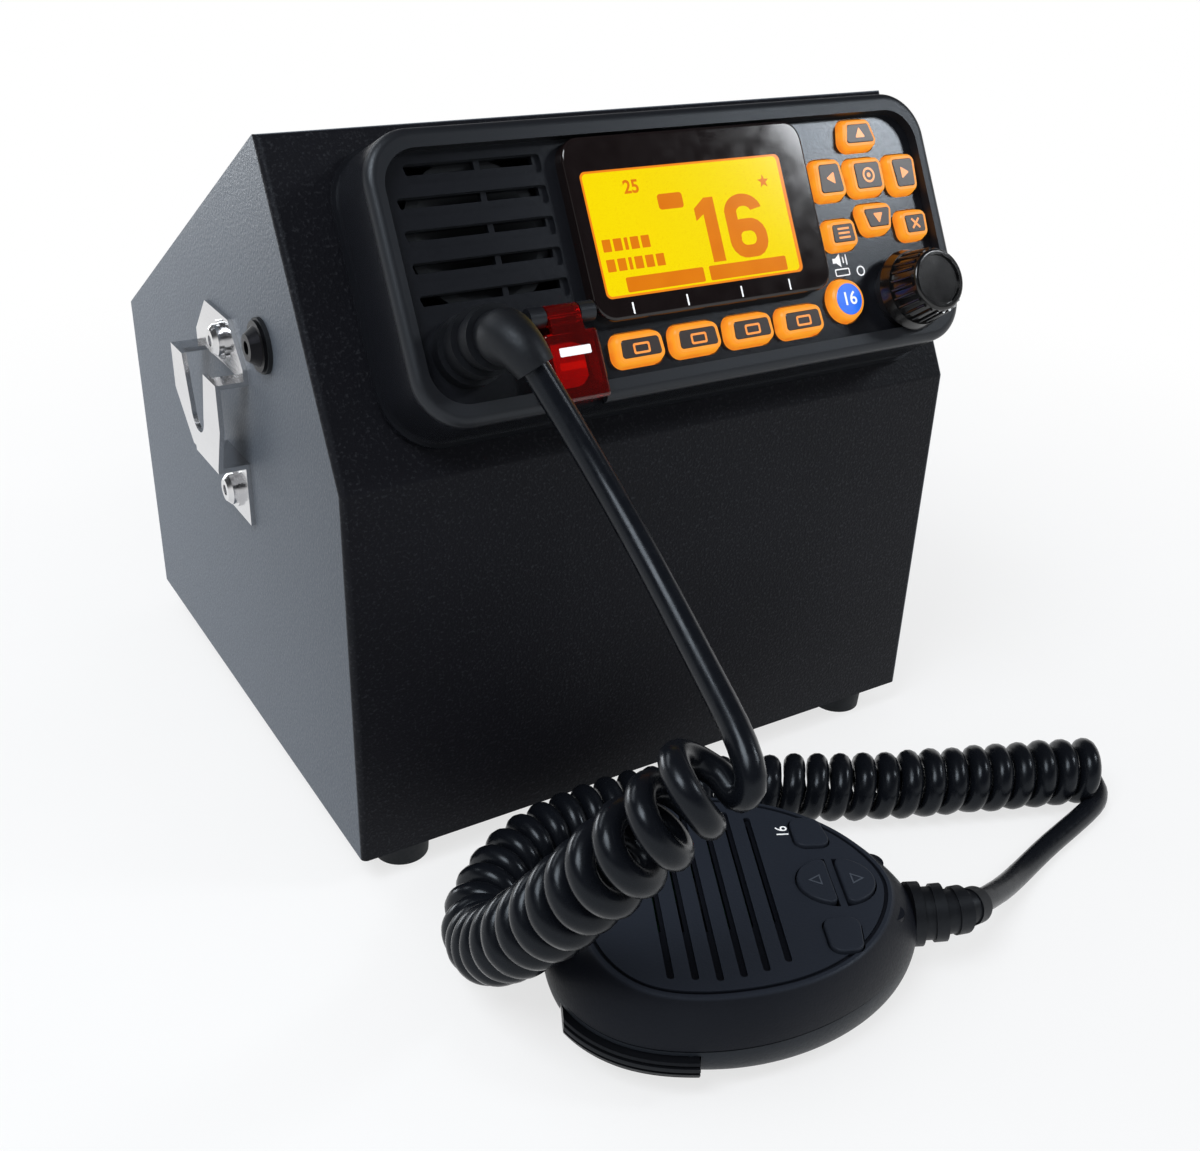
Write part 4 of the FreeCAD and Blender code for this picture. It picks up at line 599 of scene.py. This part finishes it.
def rounded(corners, radius, steps=5):
    points = []
    for i, here in enumerate(corners):
        here = Vector(here)
        back = (Vector(corners[i - 1]) - here).normalized()
        on = (Vector(corners[(i + 1) % len(corners)]) - here).normalized()
        half = back.angle(on) / 2
        middle = here + (back + on).normalized() * (radius / math.sin(half))
        a = here + back * (radius / math.tan(half)) - middle
        b = here + on * (radius / math.tan(half)) - middle
        points += [middle + (a.lerp(b, s / steps)).normalized() * radius for s in range(steps + 1)]
    return points


def oblong(u, v, width, height, radius):
    w, h = width / 2, height / 2
    return rounded([(u - w, v - h), (u + w, v - h), (u + w, v + h), (u - w, v + h)], radius)


def circle(u, v, radius, steps=40):
    angles = [math.tau * i / steps for i in range(steps)]
    return [Vector((u + radius * math.cos(a), v + radius * math.sin(a))) for a in angles]


def shrunk(outline, by):
    count, made = len(outline), []
    for i, here in enumerate(outline):
        along = (outline[(i + 1) % count] - outline[i - 1]).normalized()
        made.append(here + Vector((-along.y, along.x)) * by)
    return made


def plate(name, outlines, low, high, on, material, body, edge=0.0, holes=None):
    mesh = bmesh.new()

    def ring(outline, level):
        return [mesh.verts.new((p[0] * MM, p[1] * MM, level * MM)) for p in outline]

    for number, outline in enumerate(outlines):
        rings = [ring(outline, low), ring(outline, high - edge)]
        if edge:
            rings.append(ring(shrunk(outline, edge), high))
        if holes:
            rings += [ring(holes[number], high), ring(holes[number], low)]
        else:
            mesh.faces.new(rings[-1])
        for lower, upper in zip(rings, rings[1:]):
            for i in range(len(lower)):
                j = (i + 1) % len(lower)
                mesh.faces.new((lower[i], lower[j], upper[j], upper[i]))
    data = bpy.data.meshes.new(name)
    mesh.transform(on)
    mesh.to_mesh(data)
    mesh.free()
    data.materials.append(material)
    made = bpy.data.objects.new(name, data)
    scene.collection.objects.link(made)
    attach(made, body)


def key_outline(name, inset):
    u, v, width, height, top_share, foot_share, radius = keys[name]
    w, h = width / 2 - inset, height / 2 - inset
    wt, wb = w * (1 - top_share), w * (1 - foot_share)
    corners = [(u - wb, v - h), (u + wb, v - h), (u + wt, v + h), (u - wt, v + h)]
    return rounded(corners, max(radius - inset, 0.6))


print("outline of a soft key has", len(key_outline("soft_key_1", 0)), "points")

# %% Black tops
key_level = 18.6  # of the key tops, in mm out from the face's origin
print_inset = 1.8
print_below, print_above, print_edge = 0.2, 0.22, 0.16
key_print, tree, where = blank("black_key_print")
tint = mixed(tree, noise(tree, where, 1.4), "#241d1b", "#312826")
surface(tree, {"Base Color": tint, "Roughness": 0.33, "IOR": 1.45})

for name in keys:
    outline = key_outline(name, print_inset)
    low, high = key_level - print_below, key_level + print_above
    plate(name + "_top", [outline], low, high, face, key_print, name, edge=print_edge)
print(len(keys), "black key tops")

# %% [markdown]
# ### Marks on the keys
# The marks are clear windows in the print, so they glow like the sides. The soft keys carry a small
# frame, the arrows a triangle, and the rest plain signs: a ring round a dot to enter, three bars for
# the menu and a cross to clear. One function makes every finish that gives light in one cloudy colour.

# %% Orange marks


def lit(name, dark, light, patch, rough, strength, base=None, detail=2.0, **more):
    made, tree, where = blank(name)
    tint = mixed(tree, noise(tree, where, patch, detail), dark, light)
    surface(tree, {
        "Base Color": colour(base) if base else tint, "Roughness": rough,
        "Emission Color": tint, "Emission Strength": strength, **more,
    })
    return made


# two colours, size of the cloudy patches in mm, roughness, strength of the light
lit_mark = lit("lit_orange_mark", "#ff8f2c", "#ffab52", 1.5, 0.3, 0.95, base="#5a2406")
mark_low, mark_high = key_level + 0.1, key_level + 0.27  # just proud of the print
arrow_reach, arrow_foot, arrow_half = 1.5, 1.1, 1.55
cross_reach, cross_half = 1.7, 0.28


def middle_of(name):
    return keys[name][:2]


def mark(name, outlines, holes=None):
    plate(name + "_mark", outlines, mark_low, mark_high, face, lit_mark, name, holes=holes)


for number in range(1, 5):
    u, v = middle_of("soft_key_%d" % number)
    mark("soft_key_%d" % number, [oblong(u, v - 0.2, 4.4, 2.5, 0.5)], [oblong(u, v - 0.2, 3.4, 1.5, 0.25)])


def arrow(name, direction):
    here, tip = Vector(middle_of(name)), Vector(direction)
    foot, side = here - tip * arrow_foot, Vector((-tip.y, tip.x)) * arrow_half
    mark(name, [rounded([here + tip * arrow_reach, foot + side, foot - side], 0.2, 3)])


arrow("channel_up_key", (0, 1))
arrow("channel_down_key", (0, -1))
arrow("left_key", (-1, 0))
arrow("right_key", (1, 0))
u, v = middle_of("enter_key")
mark("enter_key", [circle(u, v, 1.9), circle(u, v, 0.6)], [circle(u, v, 1.35), circle(u, v, 0.05)])
u, v = middle_of("menu_key")
mark("menu_key", [oblong(u, v + dv, 3.6, 0.5, 0.15) for dv in (-1.1, 0, 1.1)])
here = Vector(middle_of("clear_key"))
bars = []
for lean in (45, -45):
    way = Vector((math.cos(math.radians(lean)), math.sin(math.radians(lean))))
    a, b = way * cross_reach, Vector((-way.y, way.x)) * cross_half
    bars.append([here - a - b, here + a - b, here + a + b, here - a + b])
mark("clear_key", bars)
print("marks on", len(keys), "keys")

# %% [markdown]
# ## The round channel key
# The calling channel has a key of its own, round and blue in an orange ring. Its number is white.

# %% Blue key with its number
blue_disc = lit("lit_blue_disc", "#0f4fb8", "#1c66d8", 2.5, 0.3, 0.55)
# painted glow: the white print gives a faint light of its own, though no lamp lies behind the ticks, signs
# or the microphone's number
white_print_painted_glow = lit("white_pad_print_painted_glow", "#d4d7da", "#f2f3f4", 0.8, 0.5, 0.25)
finish_with(lit_silicone, "round_key")
round_middle = (40.8, -18.2)
disc, disc_edge = circle(*round_middle, 3.9), 0.12
low, high = key_level - 0.2, key_level + 0.15
plate("round_key_disc", [disc], low, high, face, blue_disc, "round_key", edge=disc_edge)
letter_depth = 0.04


def words(name, text, u, v, size, high, on, material, body, turned=0, bold=0.0):
    curve = bpy.data.curves.new(name, "FONT")
    curve.body, curve.size = text, size * MM
    curve.align_x, curve.align_y = "CENTER", "CENTER"
    curve.extrude, curve.offset = letter_depth * MM, bold * MM
    curve.materials.append(material)
    made = bpy.data.objects.new(name, curve)
    place = Matrix.Translation(Vector((u, v, high)) * MM)
    made.matrix_world = on @ place @ Matrix.Rotation(math.radians(turned), 4, "Z")
    scene.collection.objects.link(made)
    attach(made, body)


high = key_level + 0.17
words("round_key_number", "16", *round_middle, 4.6, high, face, white_print_painted_glow, "round_key", bold=0.05)

# %% [markdown]
# ## The display
# The crystal panel is lit amber from behind, and its segments darken it to orange. The picture lies on
# the glass as plates a few hundredths of a millimetre thick: a glowing edge, the amber field, then the
# segments. The field carries the panel's fine dot grid, drawn coarser than the real quarter millimetre.

# %% Amber field
window_level = 19.8  # of the display window, in mm out from the face's origin
glass_middle, glass_width, glass_height = (0.0, 4.3), 54.6, 27.6
dot_pitch = 0.45 * MM
amber_field, tree, where = blank("amber_backlight")
grid = add(tree, "TexVoronoi", {"Vector": where, "Scale": 1 / dot_pitch}, feature="DISTANCE_TO_EDGE")
lines = spread(tree, grid.outputs["Distance"], 0.0, 0.08)
backlight = mixed(tree, noise(tree, where, 24, 1.0), "#fcdc00", "#ffe800")
surface(tree, {
    "Base Color": colour("#1c1400"), "Roughness": 0.12, "IOR": 1.49, "Specular IOR Level": 0.3,
    "Emission Color": mixed(tree, lines, "#f6d400", backlight), "Emission Strength": 0.97,
})
edge_glow = lit("amber_edge", "#f07a10", "#ff9a20", 8, 0.12, 0.9, base="#3a1800", detail=1.0, IOR=1.49)
segment = lit("orange_segment", "#dd7406", "#ea860c", 6, 0.12, 0.92, base="#3a1800", detail=1.0, IOR=1.49)

edge_outline = oblong(*glass_middle, glass_width + 1.0, glass_height + 1.0, 1.4)
field_outline = oblong(glass_middle[0] - 0.25, glass_middle[1], glass_width - 0.5, glass_height, 1.1)
low, high = window_level - 0.02, window_level + 0.03
plate("display_edge", [edge_outline], low, high, face, edge_glow, "radio_set")
low, high = window_level, window_level + 0.06
plate("display_field", [field_outline], low, high, face, amber_field, "radio_set")
print("display", glass_width, "x", glass_height, "mm")

# %% Segments
segment_level, segment_depth = window_level + 0.07, 0.03
row_height, row_gap = 2.8, 0.7


def dashes(u, v, widths):
    made, at = [], u
    for width in widths:
        made.append(oblong(at + width / 2, v, width, row_height, 0.15))
        at += width + row_gap
    return made


def arch(u, v, outer, inner, start, stop, steps=24):
    sweep = [math.radians(start + (stop - start) * i / steps) for i in range(steps + 1)]
    ring = [Vector((u + outer[0] * math.cos(a), v + outer[1] * math.sin(a))) for a in sweep]
    return ring + [Vector((u + inner[0] * math.cos(a), v + inner[1] * math.sin(a))) for a in reversed(sweep)]


def drawn(name, outlines, depth=segment_depth, holes=None):
    high = segment_level + depth
    plate(name, outlines, segment_level, high, face, segment, "radio_set", holes=holes)


one_corners = (2.6, -5.0), (6.1, -5.0), (6.1, 10.1), (3.5, 10.1), (0.3, 7.8), (0.3, 4.9), (2.6, 6.3)
one = [Vector(corner) for corner in one_corners]
six_top = arch(13.95, 5.7, (5.45, 4.4), (2.1, 1.5), 12, 180)
six_stem = oblong(10.2, 3.0, 3.4, 7.2, 0.2)
six_bowl, six_eye = oblong(13.95, -0.4, 10.9, 9.2, 4.2), oblong(13.95, -0.4, 4.4, 3.3, 1.5)
drawn("display_number", [one, six_stem, six_top])
drawn("display_number_bowl", [six_bowl], depth=0.031, holes=[six_eye])  # a hair above the stem
words("display_small_number", "25", -15.2, 14.2, 4.2, segment_level, face, segment, "radio_set", bold=0.1)
upper_row = dashes(-26.0, 1.8, (2.2, 2.2, 0.9, 2.2, 2.2))
lower_row = dashes(-26.0, -2.7, (2.2, 2.2, 0.9, 2.2, 2.2, 2.2))
drawn("display_rows", upper_row + lower_row)
left_bar, right_bar = oblong(-11.4, -7.4, 21.2, 3.4, 0.4), oblong(12.0, -7.4, 22.4, 3.4, 0.4)
top_bar = oblong(-5.6, 10.2, 6.8, 3.6, 0.8)
drawn("display_bars", [left_bar, right_bar, top_bar])
star, star_u, star_v = [], 21.6, 12.4
for i in range(10):
    reach = 1.7 if i % 2 == 0 else 0.7
    a = math.radians(90 + 36 * i)
    star.append(Vector((star_u + reach * math.cos(a), star_v + reach * math.sin(a))))
drawn("display_star", [star])
print("segments drawn")

# %% [markdown]
# ## Ticks and signs round the display
# Four white ticks tie the display to the soft keys, and three plain signs stand by the knob: a
# loudspeaker, an empty frame and a ring.

# %% White signs
tick_depth, sign_depth = 0.05, 0.06


def printed(name, outlines, low, depth, holes=None):
    plate(name, outlines, low, low + depth, face, white_print_painted_glow, "radio_set", holes=holes)


ticks = [oblong(u, -12.6, 0.4, 2.6, 0.1) for u in (-21.6, -6.8, 8.6, 22.8)]
printed("soft_key_ticks", ticks, window_level, tick_depth)
cone_corners = (40.2, -8.7), (41.2, -8.7), (42.6, -9.8), (42.6, -6.4), (41.2, -7.5), (40.2, -7.5)
cone = [Vector(corner) for corner in cone_corners]
near_wave, far_wave = oblong(43.5, -8.1, 0.35, 1.6, 0.1), oblong(44.5, -8.1, 0.35, 2.6, 0.1)
printed("knob_signs", [cone, near_wave, far_wave], panel_level, sign_depth)
frame_outer, frame_inner = oblong(42.6, -11.1, 4.6, 1.9, 0.4), oblong(42.6, -11.1, 4.0, 1.3, 0.2)
printed("knob_sign_frame", [frame_outer], panel_level, sign_depth, [frame_inner])
printed("knob_sign_ring", [circle(48.4, -11.4, 1.3)], panel_level, sign_depth, [circle(48.4, -11.4, 0.95)])
print("signs drawn")

# %% [markdown]
# ## The distress cover
# A clear red polycarbonate lid covers the distress key, so that it can be found but not brushed by
# accident. Red glass in a renderer needs little colour: light crosses it twice. The key under it is red
# with a lit orange band, and the lid carries a white one.

# %% Red lid and key
red_polycarbonate, tree, where = blank("clear_red_polycarbonate")
swirl = noise(tree, where, 6)
surface(tree, {
    "Base Color": mixed(tree, swirl, "#a80a04", "#cc160a"), "IOR": 1.58, "Transmission Weight": 0.92,
    "Roughness": spread(tree, swirl, 0.0, 1.0, 0.04, 0.1),
})
finish_with(red_polycarbonate, "distress_cover")
red_key = lit("red_distress_silicone", "#c81a0c", "#e83018", 3, 0.4, 0.5)
finish_with(red_key, "distress_key")
lid_middle = -40.1
key_band, lid_band = oblong(lid_middle, -23.0, 6.4, 1.6, 0.3), oblong(lid_middle, -20.2, 7.8, 1.9, 0.3)
low, high = 19.42, 19.52  # just above the distress key
plate("distress_band", [key_band], low, high, face, lit_mark, "distress_key")
low, high = 22.36, 22.46  # across the lid's top, which lies between the two
plate("lid_band", [lid_band], low, high, face, white_print_painted_glow, "distress_cover")

# %% [markdown]
# ## Marks on the microphone
# The channel key's number is printed beside it, and the up and down keys carry a triangle each, as a
# raised outline.

# %% Microphone marks
case_top = 25.02  # where the number is printed, in mm above the table
# the number's white print carries the faint painted glow
words("mic_channel_number", "16", 14.6, 18.6, 4.2, case_top, mic, white_print_painted_glow, "radio_set", turned=90)
raised_abs = moulded("raised_sign_abs", "#3c4149", "#474d56", 0.8, 0.02, 0.4, 0.3)
low, high, half_base = 25.85, 25.97, 1.8
for body_name, tip, base in (("mic_up_key", 16.5, 19.5), ("mic_down_key", 29.5, 26.5)):
    way = 1 if tip < base else -1
    outer = [Vector((tip, 0)), Vector((base, -half_base * way)), Vector((base, half_base * way))]
    centre = sum(outer, Vector((0, 0))) / 3
    inner = [p.lerp(centre, 0.3) for p in outer]
    plate(body_name + "_arrow", [outer], low, high, mic, raised_abs, body_name, holes=[inner])
